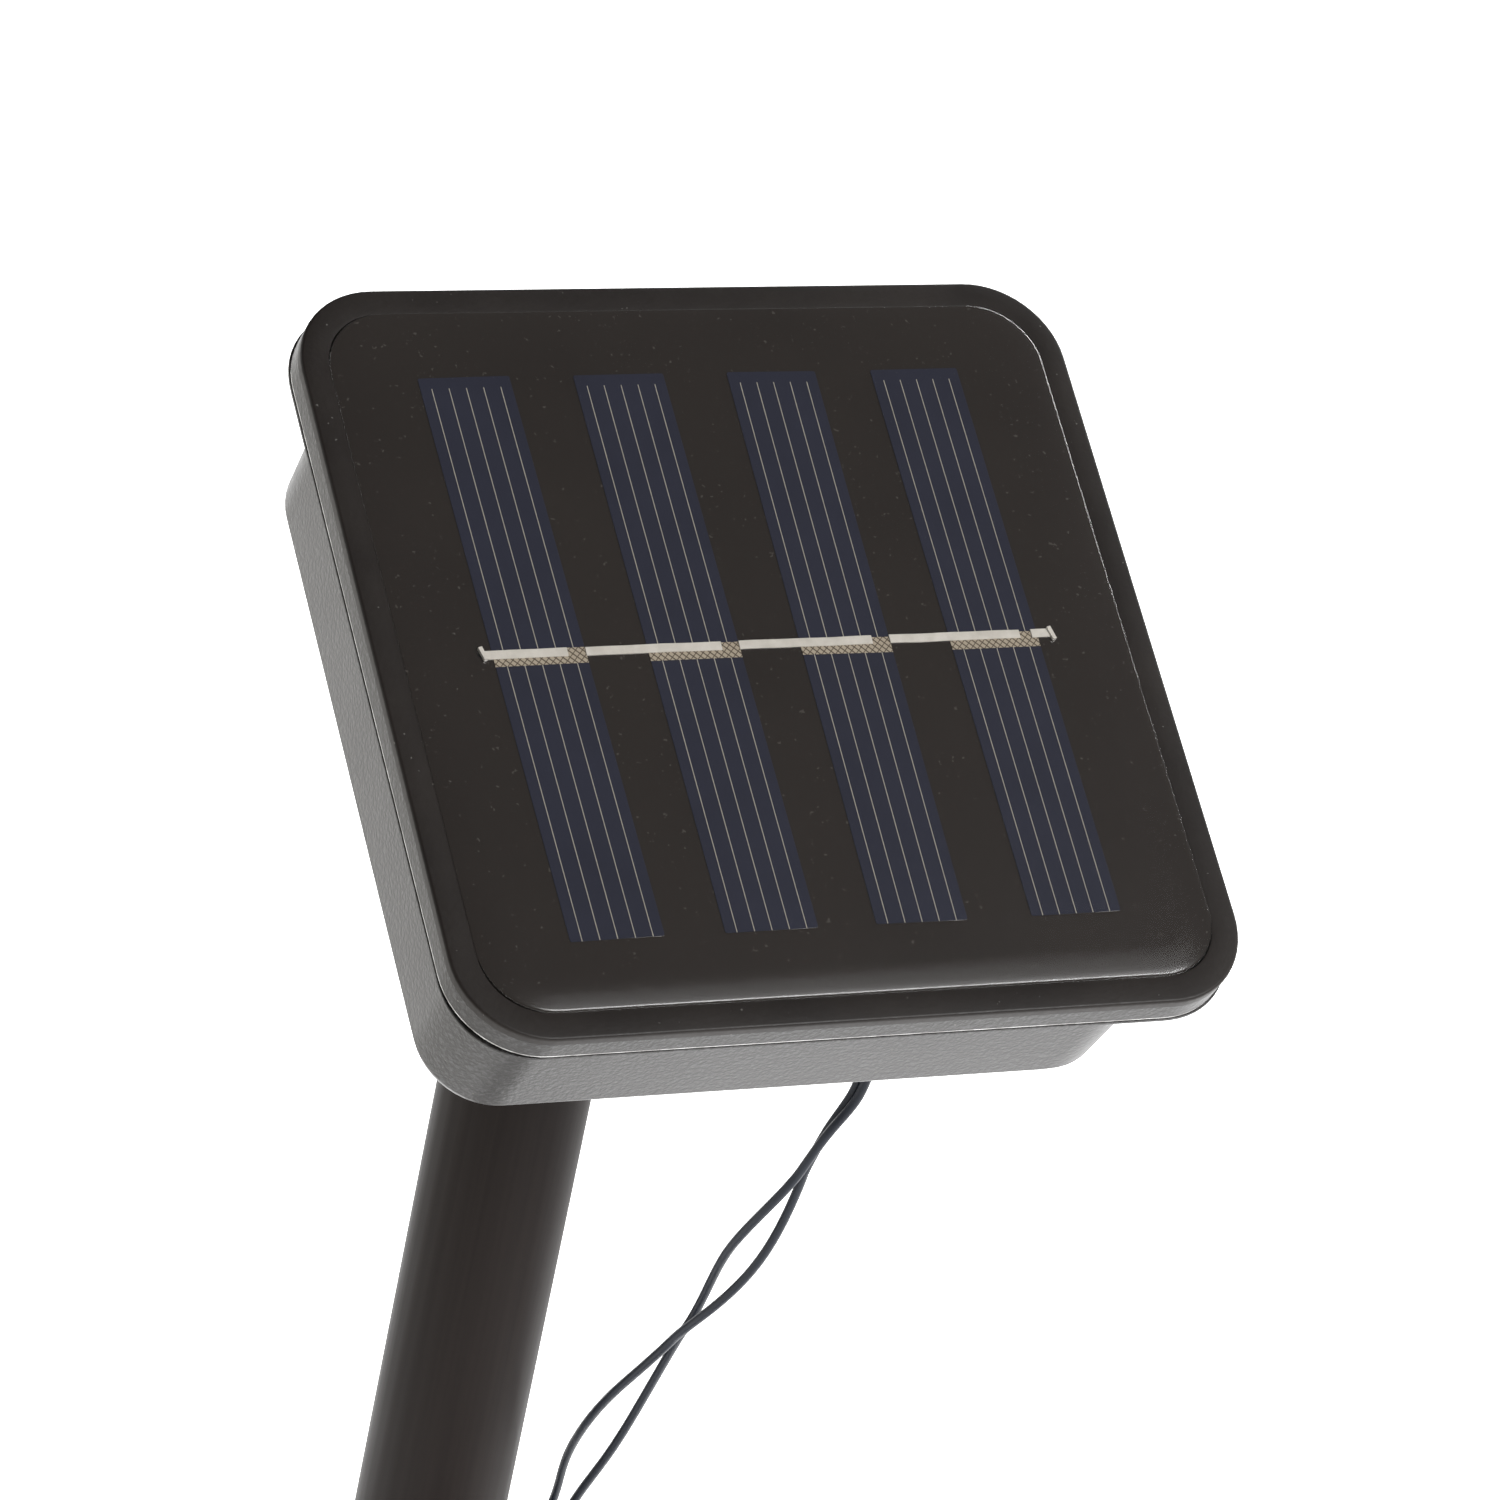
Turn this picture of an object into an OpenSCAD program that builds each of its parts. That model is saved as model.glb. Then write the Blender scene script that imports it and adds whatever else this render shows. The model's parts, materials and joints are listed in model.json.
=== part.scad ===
// Solar string lights: a solar head on a tilting stake, with its light string
// wound in a tied coil on the ground. Millimetres. The origin is on the stake's
// axis at soil level, +Z runs up the stake, and the panel leans towards -Y.
// Pieces of the head are drawn in the head's own frame: its origin is the centre
// of the cover's face, +X across, +Y up the slope, +Z out of the panel.

/* [Head] */
// Width of the square cover plate
head_w = 100; // [90:1:120]
// Corner radius of the cover plate
head_r = 11; // [9:0.5:15]
// Thickness of the cover plate's visible edge
cover_edge = 1.2; // [1.2:0.1:2]
// Thickness of the cover plate's floor inside the housing
cover_floor = 1.8; // [1.2:0.1:3]
// Height of the housing's flange under the cover
flange_h = 3.8; // [3:0.1:6]
// How far the flange stands out past the housing's walls
flange_over = 4.5; // [3.5:0.5:5]
// Depth of the housing behind the flange
box_h = 24.5; // [24.5:0.5:34]
// How far each wall leans in from the flange to the back
box_draft = 1; // [0:0.1:1.5]
// Wall thickness of the housing
wall = 2; // [2:0.1:2.4]
// Lean of the panel from facing straight up, degrees
tilt = 29; // [0:1:60]

/* [Solar panel] */
// Width of the cover's flat band round the panel
band_w = 3.3; // [2.5:0.1:5]
// Thickness of the panel's board
board_t = 0.6; // [0.4:0.1:0.8]
// Height of the clear resin above the cover's face
resin_h = 0.9; // [0.7:0.1:1.4]
// Width of one cell
cell_w = 11.7; // [8:0.1:14]
// Length of one cell
cell_l = 75.3; // [50:0.1:80]
// Thickness of one cell
cell_t = 0.2; // [0.16:0.02:0.3]
// Distance from cell to cell
cell_pitch = 19.55; // [15:0.05:21]
// Width of the tinned ribbon that joins the cells
ribbon_w = 1.1; // [0.8:0.1:2]

/* [Battery and door] */
// Diameter of the rechargeable AA cell
aa_d = 14.2; // [13.5:0.1:14.5]
// Length of the cell with its button
aa_l = 50; // [48:0.5:51]
// Thickness of the battery door
door_t = 1.6; // [1.4:0.1:2]

/* [Buttons] */
// Diameter of a push button
button_d = 6.8; // [5:0.1:9]
// Travel of a push button
button_travel = 0.8; // [0.4:0.1:0.9]
// Distance of each button from the middle
button_x = 27; // [20:0.5:30]

/* [Hinge] */
// Diameter of the hinge bolt
bolt_d = 4; // [3:0.5:5]
// Radius of the hinge ears and tongue
eye_r = 7; // [6:0.5:8]
// Thickness of each ear
ear_t = 4; // [3:0.5:6]
// Clear space between the ears
ear_gap = 9; // [7:0.5:11]
// Distance of the hinge axis behind the housing's back
standoff = 16.5; // [15:0.5:24]
// Distance of the hinge axis above the face's centre, along the slope
hinge_up = 23.3; // [15:0.1:25]

/* [Stake] */
// Outside diameter of the stake tube
tube_d = 20; // [18:0.5:25]
// Wall thickness of the stake tube
tube_wall = 1.5; // [1:0.1:2.5]
// Length of the stake tube
tube_l = 190; // [150:1:260]
// Diameter of the spike's collar on the soil
collar_d = 38; // [30:1:44]
// Thickness of the spike's collar
collar_t = 5; // [3:0.5:8]
// Length of the spike below the soil
spike_l = 115; // [80:1:160]
// Width across the spike's fins at the collar
fin_w = 28; // [20:1:30]
// Thickness of the spike's fins
fin_t = 3; // [2:0.5:5]
// Height of the spike's post inside the tube
post_h = 30; // [20:1:50]

/* [Light string] */
// Diameter of the twisted pair
cord_d = 2.6; // [2:0.1:3]
// Radius at the middle of the coil's turns
coil_r = 22.7; // [20:0.1:30]
// Turns side by side in the coil's widest row
coil_columns = 6; // [4:1:8]
// Rows of turns in the coil
coil_rows = 6; // [4:1:8]
// Lamps on the string
lamp_count = 20; // [10:1:20]
// Diameter of a lamp's sleeve
sleeve_d = 4.8; // [4:0.1:5.4]
// Diameter of a lamp
lamp_d = 5; // [3:0.1:5.4]

/* [Fits] */
// Gap between pieces that only clear each other
slip = 0.3; // [0.2:0.05:0.5]
// Radial clearance of a turning fit
turn_fit = 0.06; // [0.02:0.01:0.1]

/* [Hidden] */
$fn = 48;
eps = 0.01;
black = [0.10, 0.09, 0.085];
tin = [0.80, 0.80, 0.78];
cell_blue = [0.10, 0.12, 0.22];

// Head levels, measured along the panel's normal from the cover's face
edge_z = -cover_edge;
flange_z = edge_z - flange_h;
back_z = flange_z - box_h;
inner_z = back_z + wall;
floor_z = edge_z - cover_floor;
mouth_w = head_w - 2 * flange_over - 2 * box_draft - 2 * wall;
mouth_r = head_r - flange_over + box_draft;
panel_w = head_w - 2 * band_w;
panel_r = head_r - band_w + 0.5;

// Hinge and stake levels
hinge_z = back_z - standoff;
tube_z = collar_t + 0.1;
cap_t = 4;
cap_gap = 2.4;
hinge_h = tube_z + tube_l + cap_t + cap_gap + eye_r;
bore_r = tube_d / 2 - tube_wall;
washer_t = 0.6;
tongue_t = ear_gap - 2 * washer_t - 0.2;
nut_af = 1.75 * bolt_d;
nut_t = 0.8 * bolt_d;
head_t = 0.65 * bolt_d;

// Case screws and their corner posts
post_in = mouth_w / 2 - 6;
post_r = 4;
boss_len = 6;
screw_r = 1.25;
screw_head_r = 2.5;
screw_head_t = 1.8;
screw_seat_z = back_z + 14.5;
boss_z = floor_z - boss_len;

// Battery bay, below the circuit board
contact_t = 0.4;
spring_l = 4;
bay_l = aa_l + spring_l + 2 * contact_t;
bay_w = aa_d + 1.8;
bay_y = -9;
bay_wall = 1.5;
bay_top = back_z + wall + aa_d + 2.6;
bay_floor = bay_top + 1.2;
over_bay = bay_floor + 2.8;
cell_z = (back_z + door_t + bay_top) / 2;
rim = 2.8;
door_l = bay_l + 20;
door_w = bay_w + 2 * rim;
door_sink = 1;
door_screw_x = bay_l / 2 + 6;
door_screw_r = 0.9;
gasket_w = 1.1;
gasket_t = 0.8;

// Circuit board and buttons
pcb_y = 22;
pcb_w = 16;
pcb_l = 2 * button_x + 12;
pcb_t = 1.6;
pcb_z = inner_z + 7.5;
pcb_post_x = 16;
switch_w = 6;
switch_h = 3.5;
cap_flange_t = 0.8;
cap_flange_r = button_d / 2 + 1.2;
cap_proud = 1.5;

// Cord gland, where the string leaves the housing
gland_x = 24.5;
gland_y = -30;
gland_nose = 12.5;
gland_bore = cord_d / 2 + 0.1;

// Route of the string outside the head, from the gland to the coil
tie_h = 56;
upper_route = [
  [24.5, -46.6, 182.7], [24.2, -45.3, 178], [23.6, -44.8, 173], [21.2, -43.8, 166.4],
  [19.5, -41.6, 157], [18, -38.5, 147.5], [17.2, -34, 138], [16.4, -29, 128],
  [15.8, -24, 118.5], [15.6, -18.5, 108.5], [15.7, -13, 98], [16.1, -8, 88.5],
  [16.6, -4, 79], [15.4, -1.5, 71], [12.8, -0.3, 65], [11.6, 0, 60], [11.6, 0, tie_h + 0.1]
];
lower_route = [
  [11.6, 0, tie_h - 0.1], [11.6, 0, 50], [11.7, -0.5, 40], [12.2, -1, 30], [13.5, -2, 21],
  [16.2, -4, 13.5], [20, -8, 8.2], [24, -14, 4.6], [27.4, -22, 2.8], [29.4, -32, 2.2],
  [29.8, -42, 2.2], [29.3, -52, 2.2]
];
coil_x = 0;
coil_y = -57;
coil_lift = 0.9;
row_h = cord_d * 0.866;
coil_w = coil_columns * cord_d;
coil_h = (coil_rows - 1) * row_h + cord_d;
strap_w = 2.4;
strap_t = 0.8;
strap_at = [-9, 117, 243];
lamp_step = 18;
sleeve_l = 9;

// ---- helpers ----

// A square with round corners, in the XY plane
module round_square(w, r, l = 0) {
  len_x = l > 0 ? l : w;
  square([len_x - 2 * r, w], center = true);
  square([len_x, w - 2 * r], center = true);
  for (x = [-1, 1], y = [-1, 1])
    translate([x * (len_x / 2 - r), y * (w / 2 - r)]) circle(r = r);
}

// A slab with round corners between two levels
module slab(w, r, low, high, l = 0) {
  translate([0, 0, low]) linear_extrude(high - low) round_square(w, r, l);
}

// A round bar along Z between two levels
module bar(r, low, high) {
  translate([0, 0, low]) cylinder(r = r, h = high - low);
}

// A round bar along X, centred on the hinge axis
module cross_bar(r, low, high) {
  translate([low, 0, 0]) rotate([0, 90, 0]) cylinder(r = r, h = high - low);
}

// Puts a piece drawn in the head's frame into the part's frame
module in_head() {
  translate([0, 0, hinge_h]) rotate([tilt, 0, 0]) translate([0, -hinge_up, -hinge_z]) children();
}

// Copies at the four case screws
module at_case_screws() {
  for (x = [-1, 1], y = [-1, 1]) translate([x * post_in, y * post_in, 0]) children();
}

// A point of the head's frame in the part's frame
function head_point(p) = [
  p[0],
  (p[1] - hinge_up) * cos(tilt) - (p[2] - hinge_z) * sin(tilt),
  hinge_h + (p[1] - hinge_up) * sin(tilt) + (p[2] - hinge_z) * cos(tilt)
];

function unit(v) = v / norm(v);
// Turns vector v with the smallest turn that brings direction a onto b
function carry(v, a, b) =
  let (c = cross(a, b), k = a * b)
  v * k + cross(c, v) + c * (c * v) / (1 + k);
// Direction of the route at each point
function headings(p) = [
  for (i = [0 : len(p) - 1]) unit(p[min(i + 1, len(p) - 1)] - p[max(i - 1, 0)])
];
// Side directions that follow the route without twisting
function sides(h, i = 0, made = []) =
  i == len(h) ? made :
  sides(h, i + 1, concat(made, [
    i == 0 ? unit(cross(h[0], abs(h[0][0]) < 0.9 ? [1, 0, 0] : [0, 1, 0]))
           : unit(carry(made[i - 1], h[i - 1], h[i]))
  ]));
// A smooth curve through the points of a route, with n steps between two points
function curve_at(a, b, c, d, t) =
  0.5 * (2 * b + (c - a) * t + (2 * a - 5 * b + 4 * c - d) * t * t + (3 * b - a - 3 * c + d) * t * t * t);
function smooth(p, n) = concat(
  [for (i = [0 : len(p) - 2], k = [0 : n - 1])
    curve_at(p[max(i - 1, 0)], p[i], p[i + 1], p[min(i + 2, len(p) - 1)], k / n)],
  [p[len(p) - 1]]
);

// A tube of radius r with n sides along a route
module tube_along(p, r, n = 8) {
  h = headings(p);
  s = sides(h);
  rings = [
    for (i = [0 : len(p) - 1], k = [0 : n - 1])
      p[i] + r * (cos(360 * k / n) * s[i] + sin(360 * k / n) * cross(h[i], s[i]))
  ];
  last = (len(p) - 1) * n;
  skin = [
    for (i = [0 : len(p) - 2], k = [0 : n - 1])
      [i * n + k, (i + 1) * n + k, (i + 1) * n + (k + 1) % n, i * n + (k + 1) % n]
  ];
  polyhedron(
    rings,
    concat([[for (k = [0 : n - 1]) k]], skin, [[for (k = [0 : n - 1]) last + n - 1 - k]])
  );
}

// ---- head: casing ----

module cover_plate() {
  color(black) in_head() difference() {
    union() {
      slab(head_w, head_r, edge_z, 0);
      slab(mouth_w - 2 * slip, mouth_r, floor_z, edge_z + eps);
      at_case_screws() bar(post_r - 0.5, boss_z, floor_z + eps);
    }
    slab(panel_w, panel_r, -board_t, 1);
    at_case_screws() bar(screw_r, boss_z - 1, floor_z - 0.6);
    for (x = [-1, 1]) translate([x * lead_x, 0, 0]) bar(1, floor_z - 1, 1);
  }
}

module cover_gasket() {
  color([0.25, 0.25, 0.25]) in_head() difference() {
    slab(mouth_w + 7, mouth_r + 3.5, edge_z - 1, edge_z);
    slab(mouth_w + 4, mouth_r + 2, edge_z - 2, edge_z + 1);
  }
}

// The walls with their draft and rounded back edge
module box_shape() {
  w = head_w - 2 * flange_over;
  r = head_r - 1;
  hull() {
    slab(w, r, flange_z, flange_z + eps);
    slab(w - 1.8 * box_draft, r - 0.5, back_z + 2.5, back_z + 2.5 + eps);
    slab(w - 2 * box_draft - 1.4, r - 1, back_z + 0.7, back_z + 0.7 + eps);
    slab(w - 2 * box_draft - 4, r - 2, back_z, back_z + eps);
  }
}

module ears() {
  for (x = [-1, 1]) {
    inner = ear_gap / 2;
    translate([min(x * inner, x * (inner + ear_t)), hinge_up - eye_r, hinge_z])
      cube([ear_t, 2 * eye_r, standoff + 0.5]);
    translate([0, hinge_up, hinge_z])
      cross_bar(eye_r, min(x * inner, x * (inner + ear_t)), max(x * inner, x * (inner + ear_t)));
  }
}

module bay_walls() {
  translate([0, bay_y, 0])
    slab(bay_w + 2 * bay_wall, 1, inner_z - 0.5, bay_floor, bay_l + 2 * bay_wall);
  for (x = [-1, 1]) translate([x * door_screw_x, bay_y, 0]) bar(2.8, inner_z - 0.5, inner_z + 6);
}

module housing() {
  color(black) in_head() difference() {
    union() {
      difference() {
        union() {
          slab(head_w, head_r, flange_z, edge_z);
          box_shape();
        }
        slab(mouth_w, mouth_r, inner_z, 1);
      }
      at_case_screws() bar(post_r, inner_z - 0.5, boss_z - slip);
      for (x = [-1, 1]) translate([x * pcb_post_x, pcb_y, 0]) bar(2.4, inner_z - 0.5, pcb_z - pcb_t);
      bay_walls();
      ears();
    }
    difference() {
      slab(mouth_w + 7, mouth_r + 3.5, edge_z - 1, edge_z + 1);
      slab(mouth_w + 4, mouth_r + 2, edge_z - 2, edge_z + 2);
    }
    at_case_screws() {
      bar(screw_r + slip, back_z - 1, 0);
      bar(screw_head_r + slip, back_z - 1, screw_seat_z);
    }
    translate([0, bay_y, 0]) {
      slab(bay_w, 0.5, back_z - 1, bay_top, bay_l);
      slab(door_w + 2 * slip, 2 + slip, back_z - 1, back_z + door_sink, door_l + 2 * slip);
      for (x = [-1, 1]) translate([x * door_screw_x, 0, 0]) bar(door_screw_r, back_z, inner_z + 5);
      for (x = [-1, 1]) translate([x * (bay_l / 2 - contact_t / 2), 0, 0])
        slab(4, 0.1, bay_top - 1, bay_floor + 1, contact_t);
    }
    for (x = [-1, 1]) {
      translate([x * button_x, pcb_y, 0]) bar(button_d / 2 + slip, back_z - 1, inner_z + 1);
      translate([x * pcb_post_x, pcb_y, 0]) bar(0.9, inner_z + 1, pcb_z);
    }
    translate([gland_x, gland_y, 0]) bar(3, back_z - 1, inner_z + 1);
    translate([0, hinge_up, hinge_z]) {
      cross_bar(bolt_d / 2 + turn_fit, -20, 20);
      translate([-ear_gap / 2 - ear_t - 1, 0, 0]) rotate([0, 90, 0])
        cylinder(r = nut_af / sqrt(3), h = 1 + nut_t * 0.6, $fn = 6);
    }
  }
}

module case_screws() {
  color(tin) in_head() at_case_screws() difference() {
    union() {
      bar(screw_r, screw_seat_z - eps, floor_z - 1.2);
      bar(screw_head_r, screw_seat_z - screw_head_t, screw_seat_z);
    }
    cross_slot(screw_seat_z - screw_head_t, screw_head_r);
  }
}

// A cross recess cut into a head that faces -Z at this level
module cross_slot(level, r) {
  for (a = [0, 90]) rotate([0, 0, a]) translate([0, 0, level + 0.25])
    cube([1.3 * r, 0.28 * r, 1.1], center = true);
}

// ---- head: solar panel ----

// The cells were laid by hand, so each has its own small turn
cell_turn = [0.8, 0.3, -0.4, 0.3];
lead_x = panel_w / 2 - 10;
ribbon_y = -0.7;
ribbon_top = cell_t + 0.15;

module at_cell(i) {
  translate([(i - 2.5) * cell_pitch - 0.3, -0.1, 0]) rotate([0, 0, cell_turn[i - 1]]) children();
}

module cell_shape() {
  cube([cell_w, cell_l, 2 * cell_t], center = true);
}

module panel_board() {
  color([0.05, 0.05, 0.05]) in_head() difference() {
    slab(panel_w - slip, panel_r, -board_t, 0);
    for (x = [-1, 1]) translate([x * lead_x, 0, 0]) bar(0.6, -2, 1);
  }
}

module solar_cell(i) {
  color(cell_blue) in_head() at_cell(i) intersection() {
    cell_shape();
    translate([0, 0, 5]) cube([50, 100, 10], center = true);
  }
}

// One ribbon runs across the gap before each cell and lies on four fifths of it;
// the last one ends in the right-hand hole
module ribbon_shapes() {
  lap = 0.8 * cell_w;
  gap = cell_pitch - cell_w;
  for (i = [1 : 4]) {
    from = i == 1 ? -lead_x : (i - 2.5) * cell_pitch - 0.3 - cell_w / 2 - gap + slip;
    to = (i - 2.5) * cell_pitch - 0.3 - cell_w / 2 + lap;
    translate([from, ribbon_y, eps]) cube([to - from, ribbon_w, ribbon_top]);
  }
  last = 1.5 * cell_pitch - 0.3 + cell_w / 2 + slip;
  translate([last, ribbon_y, eps]) cube([lead_x - last, ribbon_w, ribbon_top]);
}

module tab_ribbons() {
  color(tin) in_head() difference() {
    ribbon_shapes();
    for (i = [1 : 4]) at_cell(i) cell_shape();
  }
}

module panel_resin() {
  color([0.3, 0.3, 0.32, 0.4]) in_head() difference() {
    hull() {
      slab(panel_w - 0.4, panel_r, 0, eps);
      slab(panel_w - 0.6, panel_r, resin_h * 0.5, resin_h * 0.5 + eps);
      slab(panel_w - 1.6, panel_r - 0.4, resin_h - eps, resin_h);
    }
    for (i = [1 : 4]) at_cell(i) cell_shape();
    ribbon_shapes();
  }
}

// Two wires from the panel down to the circuit board
module panel_leads() {
  color("darkred") in_head() for (x = [-1, 1])
    tube_along(smooth([
      [x * lead_x, 0, -board_t - 0.1], [x * lead_x, 0, -6], [x * (lead_x - 2), 6, -9],
      [x * (pcb_l / 2 - 2), 14, -13], [x * (pcb_l / 2 - 3), pcb_y - 2, pcb_z + 4],
      [x * (pcb_l / 2 - 3), pcb_y - 2, pcb_z + 2], [x * (pcb_l / 2 - 3), pcb_y - 2, pcb_z]
    ], 2), 0.6, 6);
}

// ---- head: battery and door ----

module battery_cell() {
  color("seagreen") in_head() translate([bay_l / 2 - contact_t, bay_y, cell_z]) {
    cross_bar(aa_d / 2, -aa_l, -1.6);
    cross_bar(2.75, -2, 0);
  }
}

module contact_plate(side) {
  translate([side * (bay_l / 2 - contact_t / 2), bay_y, 0]) {
    slab(9, 0.1, cell_z - 5, bay_top, contact_t);
    slab(3.4, 0.1, bay_top - 1, bay_floor + 2, contact_t);
  }
}

module plus_contact() {
  color(tin) in_head() contact_plate(1);
}

module minus_contact() {
  color(tin) in_head() contact_plate(-1);
}

module battery_spring() {
  turns = 3;
  steps = 14 * turns;
  start = -bay_l / 2 + contact_t;
  color(tin) in_head() translate([start, bay_y, cell_z]) tube_along([
    for (i = [0 : steps]) let (t = i / steps, a = 360 * turns * t, r = 4.6 - 1.8 * t)
      [0.4 + (spring_l - 0.8) * t, r * cos(a), r * sin(a)]
  ], 0.35, 6);
}

module battery_leads() {
  color("darkred") in_head() for (x = [-1, 1])
    tube_along(smooth([
      [x * (bay_l / 2 - 1.2), bay_y, bay_floor + 1.2], [x * (bay_l / 2 - 4), bay_y + 1, over_bay],
      [x * (bay_l / 2 - 6), bay_y + bay_w / 2 + 1, over_bay], [x * (pcb_post_x + 5), pcb_y - 9, pcb_z + 7],
      [x * (pcb_post_x + 5), pcb_y - 6, pcb_z + 4], [x * (pcb_post_x + 5), pcb_y - 6, pcb_z + 2],
      [x * (pcb_post_x + 5), pcb_y - 6, pcb_z]
    ], 2), 0.6, 6);
}

module door_groove(extra = 0) {
  difference() {
    slab(bay_w + 1 + 2 * gasket_w, 1.6, back_z + door_sink - gasket_t, back_z + door_sink + extra,
      bay_l + 1 + 2 * gasket_w);
    slab(bay_w + 1, 0.5, back_z - 5, back_z + 5, bay_l + 1);
  }
}

module battery_door() {
  color(black) in_head() translate([0, bay_y, 0]) difference() {
    union() {
      slab(door_w, 2, back_z + door_sink - door_t, back_z + door_sink, door_l);
      slab(bay_w - 2 * slip, 0.5, back_z + door_sink - eps, back_z + door_t + 0.4, bay_l - 2 * slip);
    }
    door_groove(extra = 1);
    for (x = [-1, 1]) translate([x * door_screw_x, 0, 0]) {
      bar(door_screw_r + 0.3, back_z - 5, back_z + 5);
      bar(2.5, back_z - 5, back_z + door_sink - door_t + 0.9);
    }
    for (i = [-3 : 3]) translate([i * 4, 0, back_z + door_sink - door_t])
      cube([1.4, bay_w * 0.5, 0.6], center = true);
  }
}

module door_gasket() {
  color([0.25, 0.25, 0.25]) in_head() translate([0, bay_y, 0]) door_groove();
}

module door_screws() {
  top = back_z + door_sink - door_t;
  color(tin) in_head() for (x = [-1, 1]) translate([x * door_screw_x, bay_y, 0]) difference() {
    union() {
      bar(door_screw_r, top + 0.5, inner_z + 4.6);
      bar(2.2, top, top + 0.9);
    }
    cross_slot(top, 2.2);
  }
}

// ---- head: circuit board and buttons ----

module circuit_board() {
  color("darkgreen") in_head() translate([0, pcb_y, 0]) difference() {
    slab(pcb_w, 1, pcb_z - pcb_t, pcb_z, pcb_l);
    for (x = [-1, 1]) translate([x * pcb_post_x, 0, 0]) bar(1.1, pcb_z - 5, pcb_z + 1);
  }
}

module board_screws() {
  color(tin) in_head() for (x = [-1, 1]) translate([x * pcb_post_x, pcb_y, 0]) {
    bar(0.9, pcb_z - pcb_t - 3, pcb_z + eps);
    bar(1.8, pcb_z, pcb_z + 1.1);
  }
}

// Driver chip, coil, capacitor and four small resistors
module board_parts() {
  color([0.2, 0.2, 0.22]) in_head() translate([0, pcb_y, pcb_z]) {
    translate([0, 2, 0.75]) cube([5, 4, 1.5], center = true);
    translate([-8, 0, 0]) cylinder(r = 3, h = 4);
    translate([8, 1, 0]) cylinder(r = 2.5, h = 7);
    for (i = [0 : 3]) translate([-3 + 2 * i, -4, 0.35]) cube([1.2, 2, 0.7], center = true);
  }
}

module push_switch(x) {
  low = pcb_z - pcb_t;
  color([0.6, 0.6, 0.62]) in_head() translate([x, pcb_y, 0]) {
    slab(switch_w, 0.6, low - switch_h, low);
    bar(1.6, low - switch_h - 0.5, low - switch_h + eps);
  }
}

// A rubber cap with an inner flange that holds it in the housing's back
module push_button(x) {
  inner = pcb_z - pcb_t - switch_h - 0.5 - button_travel - 0.1;
  color([0.16, 0.15, 0.15]) in_head() translate([x, pcb_y, 0]) {
    bar(button_d / 2 - 0.6, back_z - cap_proud, back_z - cap_proud + 0.5);
    bar(button_d / 2, back_z - cap_proud + 0.5 - eps, inner);
    bar(cap_flange_r, min(inner_z + 0.2, inner - cap_flange_t), inner);
  }
}

// The pair of wires from the circuit board to the gland
module string_leads() {
  color([0.1, 0.12, 0.1]) in_head() tube_along(smooth([
    [11, pcb_y - 6, pcb_z], [11, pcb_y - 6, pcb_z + 2], [11, pcb_y - 6, pcb_z + 4],
    [15, pcb_y - 12, pcb_z + 9],
    [20, bay_y, over_bay], [23.5, bay_y - bay_w / 2 - 5, over_bay], [gland_x, gland_y - 2, bay_floor - 5],
    [gland_x, gland_y, inner_z + 6], [gland_x, gland_y, inner_z + 3.5], [gland_x, gland_y, inner_z + 1.5]
  ], 2), 1.1, 8);
}

// ---- gland and hinge ----

module cord_gland() {
  color([0.14, 0.13, 0.13]) in_head() translate([gland_x, gland_y, 0]) difference() {
    union() {
      bar(3, back_z - eps, inner_z + eps);
      bar(4.4, inner_z, inner_z + 1.2);
      bar(4.4, back_z - 1.4, back_z);
      translate([0, 0, back_z - gland_nose])
        cylinder(r1 = 2.1, r2 = 3.4, h = gland_nose - 1.4 + eps);
    }
    bar(gland_bore, back_z - 30, inner_z + 5);
    for (i = [0 : 2]) translate([0, 0, back_z - 3.6 - 2.6 * i]) difference() {
      bar(6, 0, 0.9);
      bar(2.35 - 0.2 * i + 0.2, -1, 2);
    }
  }
}

module at_hinge() {
  translate([0, 0, hinge_h]) children();
}

module tilt_bolt() {
  out = ear_gap / 2 + ear_t;
  color(tin) at_hinge() rotate([tilt, 0, 0]) difference() {
    union() {
      cross_bar(bolt_d / 2, -out - nut_t * 0.4 - 1, out + eps);
      cross_bar(0.9 * bolt_d, out, out + head_t);
    }
    for (a = [0, 90]) rotate([a, 0, 0]) translate([out + head_t, 0, 0])
      cube([0.8 * bolt_d, 1.2 * bolt_d, 0.25 * bolt_d], center = true);
  }
}

module tilt_nut() {
  from = -ear_gap / 2 - ear_t + nut_t * 0.6;
  color(tin) at_hinge() rotate([tilt, 0, 0]) difference() {
    translate([from - nut_t, 0, 0]) rotate([0, 90, 0])
      cylinder(r = nut_af / sqrt(3) - 0.05, h = nut_t, $fn = 6);
    cross_bar(bolt_d / 2, -30, 30);
  }
}

module tilt_washers() {
  color([0.85, 0.85, 0.8]) at_hinge() difference() {
    for (x = [-1, 1]) {
      inner = x * (ear_gap / 2 - washer_t);
      outer = x * ear_gap / 2;
      cross_bar(eye_r - 1.5, min(inner, outer), max(inner, outer));
    }
    cross_bar(bolt_d / 2 + turn_fit, -30, 30);
  }
}

// ---- stake ----

module knuckle() {
  cap_z = tube_z + tube_l;
  color(black) difference() {
    union() {
      bar(tube_d / 2, cap_z, cap_z + cap_t);
      bar(bore_r - 0.1, cap_z - 22, cap_z + eps);
      translate([-tongue_t / 2, -eye_r, cap_z + cap_t - 0.5])
        cube([tongue_t, 2 * eye_r, eye_r + cap_gap + 0.5]);
      at_hinge() cross_bar(eye_r, -tongue_t / 2, tongue_t / 2);
    }
    bar(bore_r - 2, cap_z - 23, cap_z - 2);
    at_hinge() cross_bar(bolt_d / 2 + turn_fit, -20, 20);
  }
}

module stake_tube() {
  color([0.12, 0.10, 0.09]) difference() {
    bar(tube_d / 2, tube_z, tube_z + tube_l);
    bar(bore_r, tube_z - 1, tube_z + tube_l + 1);
  }
}

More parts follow.
